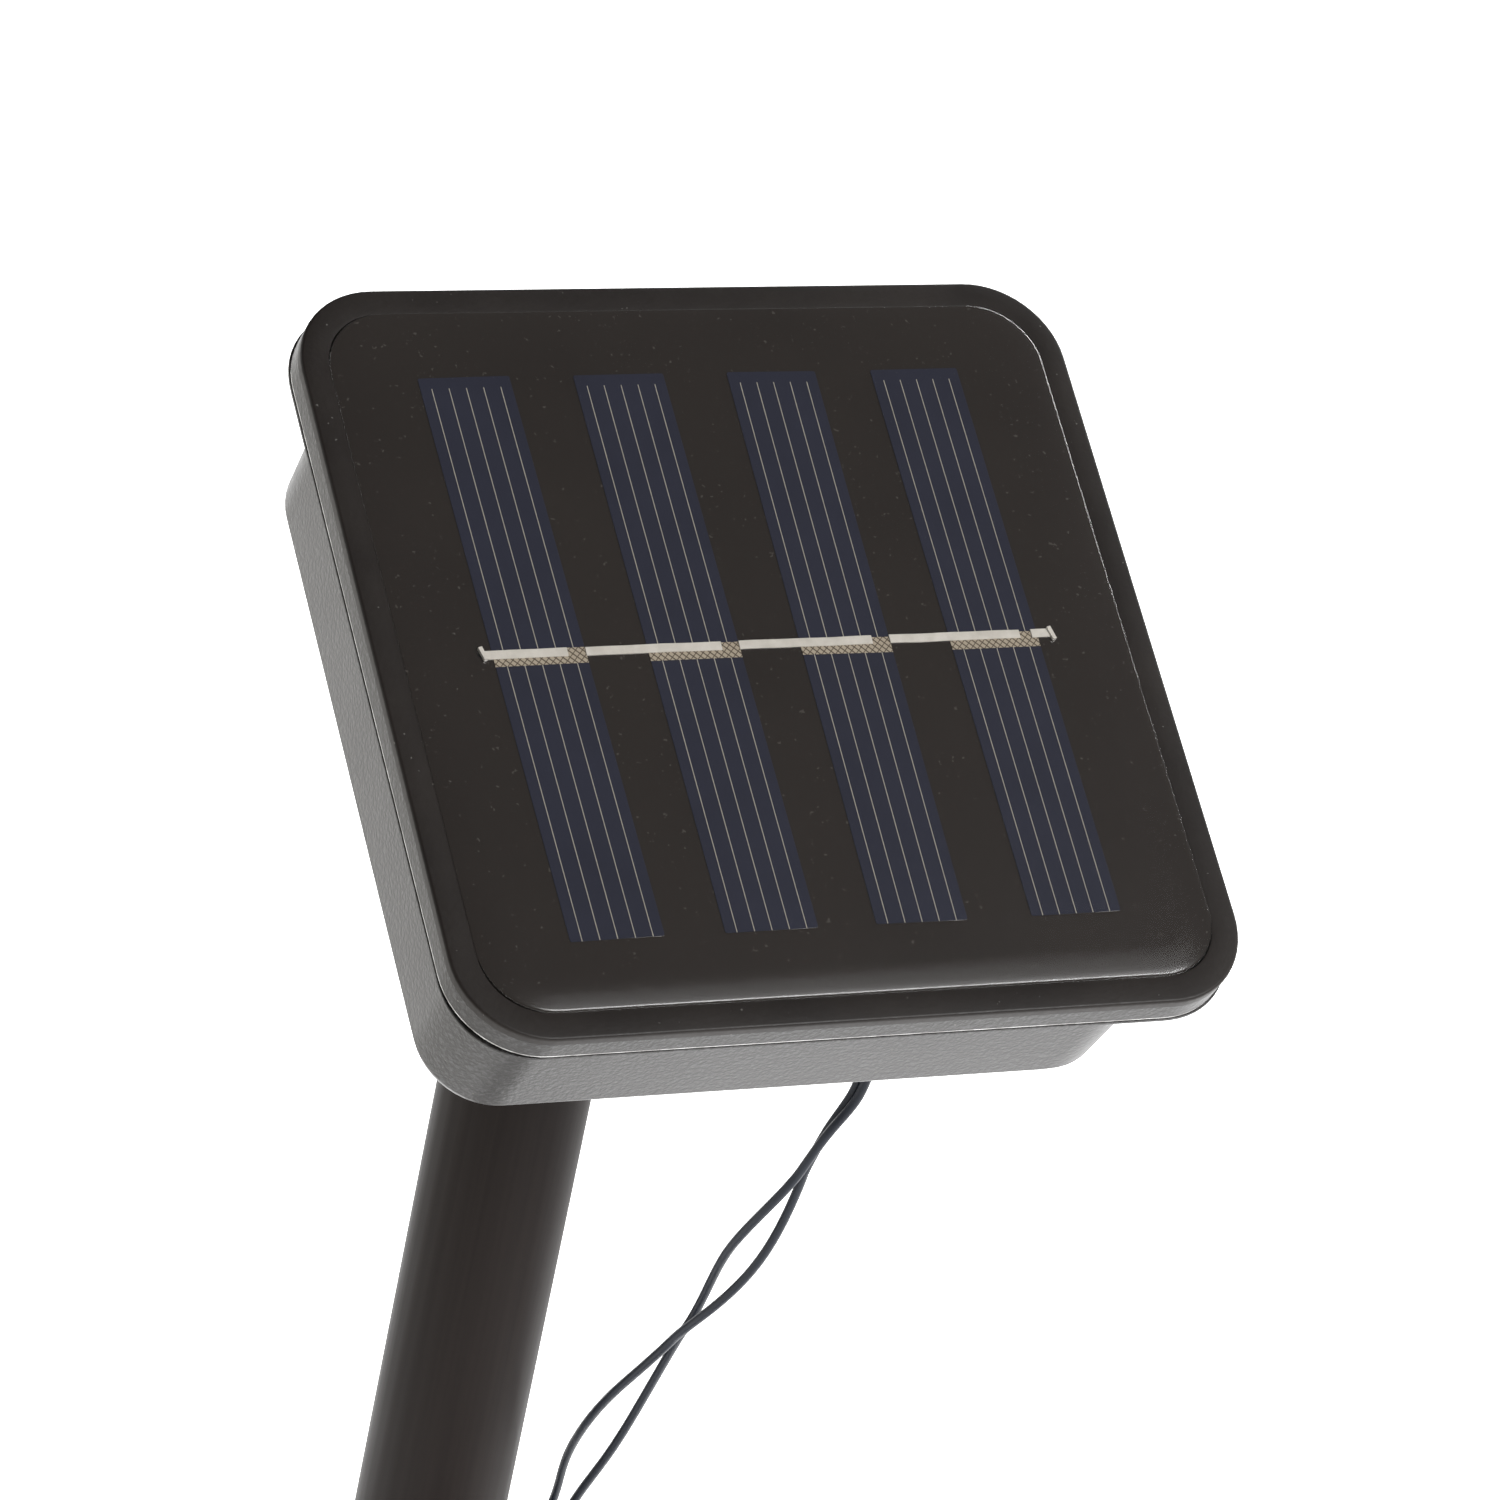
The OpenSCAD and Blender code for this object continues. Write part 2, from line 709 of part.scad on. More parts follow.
// A cable tie that holds the string against the tube
module stake_tie() {
  cord_at = lower_route[0][0];
  color([0.08, 0.08, 0.08]) translate([0, 0, tie_h - 1.8]) {
    linear_extrude(3.6) difference() {
      union() {
        circle(r = tube_d / 2 + 1.2);
        translate([cord_at, 0]) circle(r = cord_d / 2 + 1.4);
        rotate(150) translate([tube_d / 2, -2.6]) square([4.2, 5.2]);
      }
      circle(r = tube_d / 2 + 0.02);
      translate([cord_at, 0]) circle(r = cord_d / 2 + 0.2);
    }
    rotate(150) translate([tube_d / 2 + 1.6, 2.5, 0.4]) cube([0.9, 9, 2.6]);
  }
}

module ground_spike() {
  color(black) {
    difference() {
      union() {
        bar(collar_d / 2, 0, collar_t);
        bar(bore_r - turn_fit, collar_t - eps, collar_t + post_h);
      }
      bar(bore_r - 2.5, collar_t, collar_t + post_h + 1);
    }
    for (a = [0, 90]) rotate([90, 0, a]) translate([0, 0, -fin_t / 2]) linear_extrude(fin_t)
      polygon([
        [-fin_w / 2, 0.5], [fin_w / 2, 0.5], [fin_w / 2, -8], [fin_w * 0.4, -spike_l * 0.35],
        [fin_w * 0.2, -spike_l * 0.8], [0, -spike_l], [-fin_w * 0.2, -spike_l * 0.8],
        [-fin_w * 0.4, -spike_l * 0.35], [-fin_w / 2, -8]
      ]);
  }
}

// ---- light string ----

module cord_upper() {
  in_gland = [for (z = [inner_z, back_z - 6, back_z - gland_nose]) head_point([gland_x, gland_y, z])];
  color([0.09, 0.10, 0.12]) tube_along(smooth(concat(in_gland, upper_route), 2), cord_d / 2);
}

module cord_lower() {
  color([0.09, 0.10, 0.12]) tube_along(smooth(lower_route, 3), cord_d / 2);
}

// Outline of the bundle of turns, grown by this much
module bundle_outline(grow = 0) {
  r = 2 + grow;
  translate([coil_r, coil_lift + coil_h / 2])
    round_square(coil_h + 2 * grow, r, coil_w + 2 * grow);
}

module cord_coil() {
  color([0.09, 0.10, 0.12]) translate([coil_x, coil_y, 0]) rotate_extrude($fn = 96) bundle_outline();
}

module coil_ties() {
  color([0.2, 0.2, 0.2]) translate([coil_x, coil_y, 0]) for (a = strap_at) rotate(a)
    rotate([90, 0, 0]) translate([0, 0, -strap_w / 2]) linear_extrude(strap_w) difference() {
      bundle_outline(grow = strap_t + 0.08);
      bundle_outline(grow = 0.08);
    }
}

// Places a lamp on the bundle: every second one leans out, the others stand up,
// and each is a little off, as they fall when the string is wound
module at_lamp(i) {
  out = i % 2 == 0;
  translate([coil_x, coil_y, 0]) rotate(lamp_step * i)
    translate([coil_r + (out ? 6.2 : 1), 0, coil_lift + coil_h - (out ? 1.6 : 0.4)])
      rotate([9 * sin(137 * i), (out ? 60 : 24) + 9 * cos(101 * i), 0]) children();
}

module lamp_sleeves() {
  color([0.08, 0.09, 0.10]) for (i = [1 : lamp_count]) at_lamp(i) cylinder(d = sleeve_d, h = sleeve_l);
}

module lamp_lenses() {
  color([0.95, 0.93, 0.8, 0.6]) for (i = [1 : lamp_count]) at_lamp(i) {
    bar(lamp_d / 2 + 0.4, sleeve_l, sleeve_l + 1.2);
    bar(lamp_d / 2, sleeve_l + 1, sleeve_l + 5.5);
    translate([0, 0, sleeve_l + 5.5]) sphere(d = lamp_d);
  }
}

cover_plate();
cover_gasket();
housing();
case_screws();
panel_board();
for (i = [1 : 4]) solar_cell(i);
tab_ribbons();
panel_resin();
panel_leads();
battery_cell();
plus_contact();
minus_contact();
battery_spring();
battery_leads();
battery_door();
door_gasket();
door_screws();
circuit_board();
board_screws();
board_parts();
push_switch(button_x);  // power_switch
push_switch(-button_x);  // mode_switch
push_button(button_x);  // power_button
push_button(-button_x);  // mode_button
string_leads();
cord_gland();
tilt_bolt();
tilt_nut();
tilt_washers();
knuckle();
stake_tube();
stake_tie();
ground_spike();
cord_upper();
cord_lower();
cord_coil();
coil_ties();
lamp_sleeves();
lamp_lenses();
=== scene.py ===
# %% [markdown]
# # Solar string lights
# A square solar head stands on a stake, and a string of small lamps leaves it as a
# twisted pair of wires. The engineering model comes in as a frame that is already the
# right size and in the right place. Every step below either rebuilds a piece in finer
# detail at the same place, or gives a piece of the frame its finish.
# %% Load the frame
import json
import math
import bpy
import bmesh
from mathutils import Matrix, Vector


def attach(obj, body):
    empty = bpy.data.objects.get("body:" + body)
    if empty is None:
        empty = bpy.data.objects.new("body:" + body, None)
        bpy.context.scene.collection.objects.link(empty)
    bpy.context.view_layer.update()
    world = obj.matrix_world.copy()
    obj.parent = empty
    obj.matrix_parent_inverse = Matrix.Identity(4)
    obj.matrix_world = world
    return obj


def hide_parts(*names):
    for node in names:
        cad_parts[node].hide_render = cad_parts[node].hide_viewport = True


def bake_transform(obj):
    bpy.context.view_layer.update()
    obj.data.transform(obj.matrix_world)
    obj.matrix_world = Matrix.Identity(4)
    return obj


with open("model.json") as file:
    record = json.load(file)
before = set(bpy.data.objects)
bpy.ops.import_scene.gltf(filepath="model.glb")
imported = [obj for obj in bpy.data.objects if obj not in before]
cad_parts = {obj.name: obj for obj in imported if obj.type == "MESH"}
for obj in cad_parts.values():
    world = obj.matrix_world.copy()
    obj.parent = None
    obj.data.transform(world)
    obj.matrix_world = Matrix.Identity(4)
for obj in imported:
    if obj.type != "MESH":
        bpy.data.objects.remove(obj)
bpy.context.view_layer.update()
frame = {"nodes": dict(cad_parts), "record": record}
node = frame["nodes"]

# %% [markdown]
# ## Millimetres and the leaning head
# Small products are drawn in millimetres, so `mm` turns them into Blender's metres.
# The head leans back on its hinge. It is far easier to draw its pieces flat, with +Z
# out of the panel, and to let one matrix tip the finished mesh into place, than to
# draw on a slope. `head_place` is that matrix: the centre of the panel's face goes to
# its spot above the hinge. The mesh itself is moved, so each object stays at the origin.
# %% The head's place
mm = 0.001
lean = math.radians(29)
hinge = Vector((0, 0, 208.5))
hinge_in_head = Vector((0, 23.3, -46))
in_metres = Matrix.Scale(mm, 4)
head_place = (in_metres @ Matrix.Translation(hinge) @ Matrix.Rotation(lean, 4, "X")
              @ Matrix.Translation(-hinge_in_head))
print("centre of the face:", [round(x, 5) for x in head_place @ Vector((0, 0, 0))])

# %% [markdown]
# ## The camera
# The camera stands in front of the panel, a little to its left and above it, and is
# rolled slightly. A long lens from one metre away keeps the head's far edge almost as
# wide as its near edge. The direction is built from three turns in the order a
# photographer makes them: swing round, tip down, roll.
# %% Place the camera
lens_data = bpy.data.cameras.new("camera")
lens_data.lens = 162.2
lens_data.clip_start = 0.01
camera = bpy.data.objects.new("camera", lens_data)
bpy.context.scene.collection.objects.link(camera)
swing, tip, roll = math.radians(-28.365), math.radians(29.078), math.radians(12.196)
camera.matrix_world = (Matrix.Translation(Vector((-331.9, -657.8, 611.5)) * mm)
                       @ Matrix.Rotation(swing, 4, "Z")
                       @ Matrix.Rotation(math.pi / 2 - tip, 4, "X")
                       @ Matrix.Rotation(roll, 4, "Z"))
bpy.context.scene.camera = camera
print("camera looks along", [round(-x, 3) for x in camera.matrix_world.col[2][:3]])

# %% [markdown]
# ## From a bmesh to a piece
# Every rebuilt piece ends the same way: doubles are merged, faces are made to point
# outwards, the mesh is moved into place, and its edges are shaded smooth except
# where two faces meet sharply. `new_piece` does this once for all of them, and also
# says which body it rides on and which nodes of the frame it stands for.
# %% The finishing helper
finishes = {}


def new_piece(name, bm, body, place=in_metres, stands_for=(), sharp=35, outward=True):
    bmesh.ops.remove_doubles(bm, verts=bm.verts[:], dist=1e-4)
    if outward:
        bmesh.ops.recalc_face_normals(bm, faces=bm.faces[:])
    bmesh.ops.transform(bm, matrix=place, verts=bm.verts[:])
    mesh = bpy.data.meshes.new(name)
    bm.to_mesh(mesh)
    bm.free()
    mesh.shade_smooth()
    mesh.set_sharp_from_angle(angle=math.radians(sharp))
    piece = bpy.data.objects.new(name, mesh)
    bpy.context.scene.collection.objects.link(piece)
    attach(piece, body)
    if stands_for:
        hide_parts(*stands_for)
    return piece


# %% [markdown]
# ## The string's route
# The string is the one soft thing here. It leaves a rubber gland in the back of the
# head, sags down beside the stake, is tied to the tube near the ground, and then lies
# in a strapped coil. Its route is a few chosen points, the same ones as in the frame,
# with a smooth curve through them. Points at an even spacing along that curve are what
# every later step needs, so `even` measures the curve and walks along it.
# %% Smooth routes
def smooth(points, steps):
    p = [Vector(q) for q in points]
    p = [p[0]] + p + [p[-1]]
    curve = []
    for a, b, c, d in zip(p, p[1:], p[2:], p[3:]):
        for k in range(steps):
            t = k / steps
            curve.append(0.5 * (2 * b + (c - a) * t + (2 * a - 5 * b + 4 * c - d) * t * t
                                + (3 * b - a - 3 * c + d) * t ** 3))
    return curve + [p[-1]]


def even(points, gap):
    lengths = [0.0]
    for a, b in zip(points, points[1:]):
        lengths.append(lengths[-1] + (b - a).length)
    count = max(2, round(lengths[-1] / gap))
    spaced, i = [], 0
    for k in range(count + 1):
        s = lengths[-1] * k / count
        while i < len(points) - 2 and lengths[i + 1] < s:
            i += 1
        spaced.append(points[i].lerp(points[i + 1], (s - lengths[i]) / (lengths[i + 1] - lengths[i])))
    return spaced, lengths[-1]


gland_x, gland_y = 24.5, -30
in_gland = [head_place @ Vector((gland_x, gland_y, z)) / mm for z in (-27.5, -35.5, -42)]
upper_route = in_gland + [
    (24.5, -46.6, 182.7), (24.2, -45.3, 178), (23.6, -44.8, 173), (21.2, -43.8, 166.4),
    (19.5, -41.6, 157), (18, -38.5, 147.5), (17.2, -34, 138), (16.4, -29, 128),
    (15.8, -24, 118.5), (15.6, -18.5, 108.5), (15.7, -13, 98), (16.1, -8, 88.5),
    (16.6, -4, 79), (15.4, -1.5, 71), (12.8, -0.3, 65), (11.6, 0, 60), (11.6, 0, 56.1)]
lower_route = [
    (11.6, 0, 55.9), (11.6, 0, 50), (11.7, -0.5, 40), (12.2, -1, 30), (13.5, -2, 21),
    (16.2, -4, 13.5), (20, -8, 8.2), (24, -14, 4.6), (27.4, -22, 2.8), (29.4, -32, 2.2),
    (29.8, -42, 2.2), (29.3, -52, 2.2)]
upper_line, upper_length = even(smooth(upper_route, 8), 1.2)
print("gland to tie:", round(upper_length, 1), "mm")

# %% [markdown]
# ## The coil's winding
# Nearly five metres of string are wound in 33 turns, six side by side and then five in
# the gaps above them, row on row, as rope lies in a locker. A helix with a shrinking
# radius would leave gaps, so each turn keeps its radius and steps to the next one over
# its last part, and each row starts where the one below it ended.
# %% Wind the coil
coil_centre = Vector((0, -57, 0))
coil_radius, cord_width, row_height = 22.7, 2.6, 2.25
turn_spots = []
for row in range(6):
    columns = [5 - j for j in range(6)] if row % 2 == 0 else list(range(5))
    middle = 2.5 if row % 2 == 0 else 2
    turn_spots += [(coil_radius + (j - middle) * cord_width, 2.2 + row * row_height) for j in columns]


def coil_line(steps=48, step_over_from=0.75, wander_by=0.12):
    line = []
    for turn, (radius, height) in enumerate(turn_spots):
        next_radius, next_height = turn_spots[min(turn + 1, len(turn_spots) - 1)]
        for k in range(steps):
            share = k / steps
            ease = max(0.0, (share - step_over_from) / (1 - step_over_from))
            ease = ease * ease * (3 - 2 * ease)
            angle = math.radians(4) - 2 * math.pi * share
            wander = wander_by * math.sin(3 * angle + 1.7 * turn)
            r = radius + (next_radius - radius) * ease + wander
            z = height + (next_height - height) * ease
            line.append(coil_centre + Vector((r * math.cos(angle), r * math.sin(angle), z)))
    return line


lower_points = smooth(lower_route, 8) + coil_line()
lower_gap = 2.2
lower_line, lower_length = even(lower_points, lower_gap)
print("turns:", len(turn_spots), "tie to last lamp:", round(lower_length / 1000, 3), "m")

# %% [markdown]
# ## Two wires twisted together
# A twisted pair could be one cord with a spiral bump map, but where the string hangs
# free its two wires stand apart and light shows between them, so both are modelled.
# A frame of two side directions is carried along the route without twisting, and each
# wire is a poly curve that circles the route on that frame, tight where something grips
# the pair and loose where it hangs. Blender's own round bevel gives the curves their
# thickness, and they become one mesh.
# %% Twist a pair along a line
def twisted_pair(name, line, spread, turns_to, sides):
    ahead = (line[1] - line[0]).normalized()
    side = (line[1] - line[0]).orthogonal().normalized()
    curve = bpy.data.curves.new(name, "CURVE")
    curve.dimensions = "3D"
    curve.bevel_depth = 0.61 * mm
    curve.bevel_resolution = sides
    curve.use_fill_caps = True
    wires = [[], []]
    for i, point in enumerate(line):
        along = (line[min(i + 1, len(line) - 1)] - line[max(i - 1, 0)]).normalized()
        side = ahead.rotation_difference(along) @ side
        side = (side - along * side.dot(along)).normalized()
        ahead = along
        out = Matrix.Rotation(2 * math.pi * turns_to(i), 3, along) @ side
        for wire, sign in zip(wires, (1, -1)):
            wire.append((point + out * spread(i) * sign) * mm)
    for wire in wires:
        spline = curve.splines.new("POLY")
        spline.points.add(len(wire) - 1)
        for spot, co in zip(spline.points, wire):
            spot.co = (*co, 1)
    drawn = bpy.data.objects.new(name + "_curve", curve)
    bpy.context.scene.collection.objects.link(drawn)
    bpy.context.view_layer.update()
    mesh = bpy.data.meshes.new_from_object(drawn.evaluated_get(bpy.context.evaluated_depsgraph_get()))
    bpy.data.objects.remove(drawn)
    mesh.name = name
    mesh.shade_smooth()
    piece = bpy.data.objects.new(name, mesh)
    bpy.context.scene.collection.objects.link(piece)
    return piece


tight = 0.69
crossings = [(0, 0.08), (42, 0.55), (81, 1.05), (153, 1.55), (157, 1.62)]
bulges = [0, 1.26, 1.7, 0]


def upper_twist(i):
    s = min(upper_length * i / (len(upper_line) - 1), 156.9)
    for (a, turns_a), (b, turns_b), bulge in zip(crossings, crossings[1:], bulges):
        if a <= s <= b:
            share = (s - a) / (b - a)
            return tight + bulge * math.sin(math.pi * share) ** 0.6, turns_a + (turns_b - turns_a) * share


upper_cord = twisted_pair(
    "string_upper", upper_line, lambda i: upper_twist(i)[0], lambda i: upper_twist(i)[1], 2)
upper_end = upper_twist(len(upper_line) - 1)[1]
twist_per_mm = 1 / 24
lower_cord = twisted_pair(
    "string_lower", lower_line, lambda i: tight, lambda i: upper_end + lower_gap * i * twist_per_mm, 1)
print("faces in the two stretches:", [len(cord.data.polygons) for cord in (upper_cord, lower_cord)])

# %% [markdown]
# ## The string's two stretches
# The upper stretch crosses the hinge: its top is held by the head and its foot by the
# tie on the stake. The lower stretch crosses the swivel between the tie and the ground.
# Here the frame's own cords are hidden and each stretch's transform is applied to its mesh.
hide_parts("cord_upper")
upper_line[20] * mm
upper_line[-8] * mm
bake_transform(upper_cord)
upper_line[0] * mm
upper_length * mm
[p * mm for p in upper_line]
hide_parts("cord_lower", "cord_coil")
lower_line[2] * mm
lower_line[20] * mm
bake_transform(lower_cord)

# %% [markdown]
# ## Shader maths that reads like maths
# A node tree for a finish is mostly sums: how rough, how much dust, how far towards a
# second colour. `Value` wraps a socket so that Python's own operators add the Math
# nodes, and `Finish` is one material with one method, `add`, that makes any other node
# from its type, its settings and what goes into its sockets.
# %% The shader helpers
class Value:
    def __init__(self, finish, socket):
        self.finish, self.socket = finish, socket

    def maths(self, operation, a, b):
        return self.finish.add("Math", {"operation": operation}, {0: a, 1: b})

    def __add__(self, other):
        return self.maths("ADD", self, other)

    def __sub__(self, other):
        return self.maths("SUBTRACT", self, other)

    def __rsub__(self, other):
        return self.maths("SUBTRACT", other, self)

    def __mul__(self, other):
        return self.maths("MULTIPLY", self, other)

    def __lt__(self, other):
        return self.maths("LESS_THAN", self, other)

    def __mod__(self, other):
        return self.maths("FLOORED_MODULO", self, other)

    def __pow__(self, other):
        return self.maths("POWER", self, other)

    def distance_to(self, other):
        return self.finish.add("Math", {"operation": "ABSOLUTE"}, {0: self - other})

    __radd__, __rmul__ = __add__, __mul__


class Finish:
    def __init__(self, name, colour, roughness, metallic=0.0, **constants):
        self.material = bpy.data.materials.new(name)
        self.material.use_nodes = True
        self.tree = self.material.node_tree
        self.shader = self.tree.nodes["Principled BSDF"]
        self.give({"Base Color": (*colour, 1), "Roughness": roughness, "Metallic": metallic})
        self.give({key.replace("_", " "): value for key, value in constants.items()})
        finishes[name] = self

    def plug(self, value, socket):
        if isinstance(value, Value):
            self.tree.links.new(value.socket, socket)
        else:
            socket.default_value = value

    def give(self, sockets):
        for key, value in sockets.items():
            self.plug(value, self.shader.inputs[key])

    def add(self, kind, settings={}, sockets={}, output=0):
        made = self.tree.nodes.new("ShaderNode" + kind)
        for key, value in settings.items():
            setattr(made, key, value)
        for key, value in sockets.items():
            self.plug(value, made.inputs[key])
        return Value(self, made.outputs[output])

    def here(self, scale=(1, 1, 1)):
        spot = self.add("TexCoord", output="Object")
        return self.add("Mapping", {}, {"Vector": spot, "Scale": scale})

    def noise(self, size_mm, detail=2.0, where=None):
        return self.add("TexNoise", {}, {"Vector": where or self.here(), "Scale": 1000 / size_mm,
                                         "Detail": detail})

    def mix(self, share, a, b):
        return self.add("Mix", {"data_type": "RGBA"}, {"Factor": share, 6: a, 7: b}, output=2)

    def between(self, value, low, high):
        return self.add("MapRange", {}, {"Value": value, "From Min": low, "From Max": high})

    def bump(self, height, depth_mm):
        self.give({"Normal": self.add("Bump", {}, {"Height": height, "Distance": depth_mm / 1000})})


def rgb(r, g, b):
    return (r, g, b, 1)


print("shader helpers ready")

# %% [markdown]
# ## Moulded black plastic
# The casing, knuckle and spike are injection-moulded in a warm black with a fine
# spark-eroded grain. Up close it is a field of shallow pits about half a millimetre
# apart, their tops rubbed a little paler, a faint cloudiness, and a few pale specks of
# dust. Three noises of different sizes do it. The cover is the smoother, darker one.
# The flange's rim is painted nearly white in patches: a painted highlight for the thin line of light along
# it.
# %% Casing plastic
def moulded(name, dark, pale, rough, depth, worn, specks=0.72, **constants):
    made = Finish(name, dark[:3], rough, **constants)
    cloud = made.noise(14, 3)
    grain = made.noise(0.6, 2.5)
    dust = made.between(made.noise(0.7, 1.5), specks, specks + 0.06)
    tops = made.between(grain, 0.5, 0.72)
    body = made.mix(made.between(cloud, 0.35, 0.7), dark, pale)
    body = made.mix(tops * (worn * 0.3), body, rgb(0.30, 0.30, 0.32))
    made.give({"Base Color": made.mix(dust * 0.35, body, rgb(0.32, 0.31, 0.29)),
               "Roughness": grain * 0.2 + cloud * 0.10 + dust * 0.2 + (rough - 0.15)})
    made.bump(grain, depth)


moulded("casing_black", rgb(0.016, 0.0142, 0.013), rgb(0.024, 0.022, 0.021), 0.36, depth=0.09, worn=0.5,
        Specular_IOR_Level=0.42)
moulded("casing_cover", rgb(0.0135, 0.0103, 0.0090), rgb(0.0195, 0.0152, 0.0130), 0.45, depth=0.02,
        worn=0.0, specks=0.75, Specular_IOR_Level=0.3)
# Painted highlight: near-white patches on the flange's rim stand for the thin line of light along its
# edge.
rim_highlight_finish = Finish("painted_highlight_rim", (0.6, 0.6, 0.6), 0.35)
rim_highlight_noise = rim_highlight_finish.noise(2.2, 4)
painted_highlight_share = rim_highlight_finish.between(rim_highlight_noise, 0.38, 0.62)
rim_highlight_finish.give({"Base Color": rim_highlight_finish.mix(painted_highlight_share, rgb(0.30, 0.29, 0.28), rgb(0.85, 0.85, 0.84)),
                 "Roughness": rim_highlight_noise * 0.3 + 0.2})
print("moulded finishes:", list(finishes))

# %% [markdown]
# ## Drawn tube
# The stake is an extruded plastic tube. Extrusion leaves faint streaks along the tube
# and a satin shine, so its noise is squeezed along Z until it turns into lines.
# %% Tube plastic
tube = Finish("tube_black", (0.03, 0.026, 0.023), 0.5, Specular_IOR_Level=0.10)
streaks = tube.noise(1.1, 3, tube.here(scale=(1, 1, 0.02)))
haze = tube.noise(22, 2)
tube.give({"Base Color": tube.mix(streaks, rgb(0.012, 0.0085, 0.0080), rgb(0.024, 0.0185, 0.0165)),
           "Roughness": streaks * 0.16 + haze * 0.1 + 0.32})
tube.bump(streaks, 0.012)
print("tube finish ready")

# %% [markdown]
# ## Wire insulation
# The wires have thin PVC insulation, navy-black with a low sheen that picks up a little
# dust. Its only relief is a slow unevenness from the extruder.
# %% Wire, shrink tube and straps
wire = Finish("cord_pvc", (0.02, 0.024, 0.032), 0.35, Specular_IOR_Level=0.25)
wire_haze = wire.noise(3, 2)
wire.give({"Base Color": wire.mix(wire_haze, rgb(0.008, 0.011, 0.020), rgb(0.020, 0.025, 0.036)),
           "Roughness": wire_haze * 0.25 + 0.3})
wire.bump(wire.noise(0.8, 2), 0.01)

shrink = Finish("sleeve_black", (0.02, 0.02, 0.022), 0.3)
wrinkle = shrink.noise(0.9, 3)
shrink.give({"Base Color": shrink.mix(wrinkle, rgb(0.012, 0.013, 0.015), rgb(0.032, 0.034, 0.037)),
             "Roughness": wrinkle * 0.25 + 0.2})
shrink.bump(wrinkle, 0.04)

strap = Finish("tie_nylon", (0.02, 0.02, 0.02), 0.4)
strap_haze = strap.noise(2, 2)
strap.give({"Base Color": strap.mix(strap_haze, rgb(0.012, 0.012, 0.013), rgb(0.035, 0.035, 0.037)),
            "Roughness": strap_haze * 0.25 + 0.3})
strap.bump(strap.noise(0.5, 2), 0.01)
print("string finishes ready")

# %% [markdown]
# ## The panel's finishes
# Each cell is a dark blue-black sheet with five hair-thin silver fingers and, half-way
# down, a printed solder pad with a fine cross-hatch. Lines as thin as that would need
# thousands of faces, so they are drawn by the finish instead, from a UV map that holds
# each point's place on the cell in millimetres. Everything under the resin also gets a
# clear coat, which is what the resin's flat top does to it.
# %% Cell, board, ribbon
finger_pitch, finger_half, finger_reach = 2.2, 0.05, 36.9
pad_half, hatch_pitch = 1.05, 0.9
cell_finish = Finish("silicon", (0.03, 0.034, 0.06), 0.4, Coat_Weight=1.0, Coat_Roughness=0.06,
                     Specular_IOR_Level=0.12)
place = cell_finish.add("UVMap", {"uv_map": "place"})
across = cell_finish.add("SeparateXYZ", {}, {0: place})
along = Value(cell_finish, across.socket.node.outputs[1])
from_finger = ((across * 1000 + finger_pitch * 20.5) % finger_pitch).distance_to(finger_pitch / 2)
finger = from_finger < finger_half
short = (along * 1000 + 0.75).distance_to(0) < finger_reach
pad = (along * 1000 + 0.65).distance_to(0) < pad_half
hatch = ((((across + along) * 1000 % hatch_pitch) < 0.24)
         + (((across - along) * 1000 % hatch_pitch) < 0.15))
bare = cell_finish.mix(cell_finish.noise(9, 3), rgb(0.012, 0.0140, 0.030), rgb(0.021, 0.0235, 0.046))
lined = cell_finish.mix(finger * short, bare, rgb(0.44, 0.42, 0.36))
printed = cell_finish.mix(hatch.maths("MINIMUM", hatch, 1.0), rgb(0.46, 0.40, 0.31),
                          rgb(0.11, 0.085, 0.06))
cell_finish.give({"Base Color": cell_finish.mix(pad, lined, printed),
                  "Roughness": finger * -0.1 + 0.42})

board = Finish("board_black", (0.02, 0.019, 0.018), 0.5, Coat_Weight=1.0, Coat_Roughness=0.06,
               Specular_IOR_Level=0.12)
board_cloud = board.noise(18, 3)
board_dust = board.between(board.noise(0.7, 2), 0.68, 0.74)
clean = board.mix(board_cloud, rgb(0.0125, 0.0085, 0.0068), rgb(0.0180, 0.0128, 0.0100))
board.give({"Base Color": board.mix(board_dust * 0.25, clean, rgb(0.16, 0.15, 0.135)),
            "Roughness": board_cloud * 0.2 + 0.4})

tin = Finish("tinned_copper", (0.7, 0.66, 0.58), 0.35, Coat_Weight=1.0, Coat_Roughness=0.06)
tin_cloud = tin.noise(1.6, 3)
tin.give({"Base Color": tin.mix(tin_cloud, rgb(0.56, 0.53, 0.47), rgb(0.86, 0.83, 0.77)),
          "Roughness": tin_cloud * 0.35 + 0.2})
tin.bump(tin.noise(0.7, 2), 0.03)
print("panel finishes ready")

# %% [markdown]
# ## Clear things
# The resin over the panel and the lamps' epoxy are clear. A full glass shader would
# trace light through many layers and still show little, so a clear surface here is a
# mix of nothing and a mirror. The mirror's share follows Schlick's formula, 0.04 face on
# and 1 edge on, worked out from the Layer Weight node's Facing value. The Fresnel node
# isn't used, as it turns into a full mirror on back faces. A small share of the plain
# shader, the `haze`, stands for what is cloudy in the cast material.
# %% Resin and epoxy
def clear(name, roughness, tint, haze_colour, haze):
    made = Finish(name, haze_colour, roughness)
    through = made.add("BsdfTransparent", {}, {"Color": (*tint, 1)})
    gloss = made.add("BsdfGlossy", {}, {"Color": rgb(1, 1, 1), "Roughness": roughness})
    facing = made.add("LayerWeight", {}, {"Blend": 0.5}, output=1)
    edge = facing ** 5.0 * 0.96 + 0.04
    surface = made.add("MixShader", {}, {0: edge, 1: through, 2: gloss})
    body = Value(made, made.shader.outputs[0])
    cloud = made.noise(4, 2)
    made.give({"Base Color": made.mix(cloud, rgb(*haze_colour), rgb(*[c * 1.2 for c in haze_colour]))})
    whole = made.add("MixShader", {}, {0: haze, 1: surface, 2: body})
    made.plug(whole, made.tree.nodes["Material Output"].inputs["Surface"])


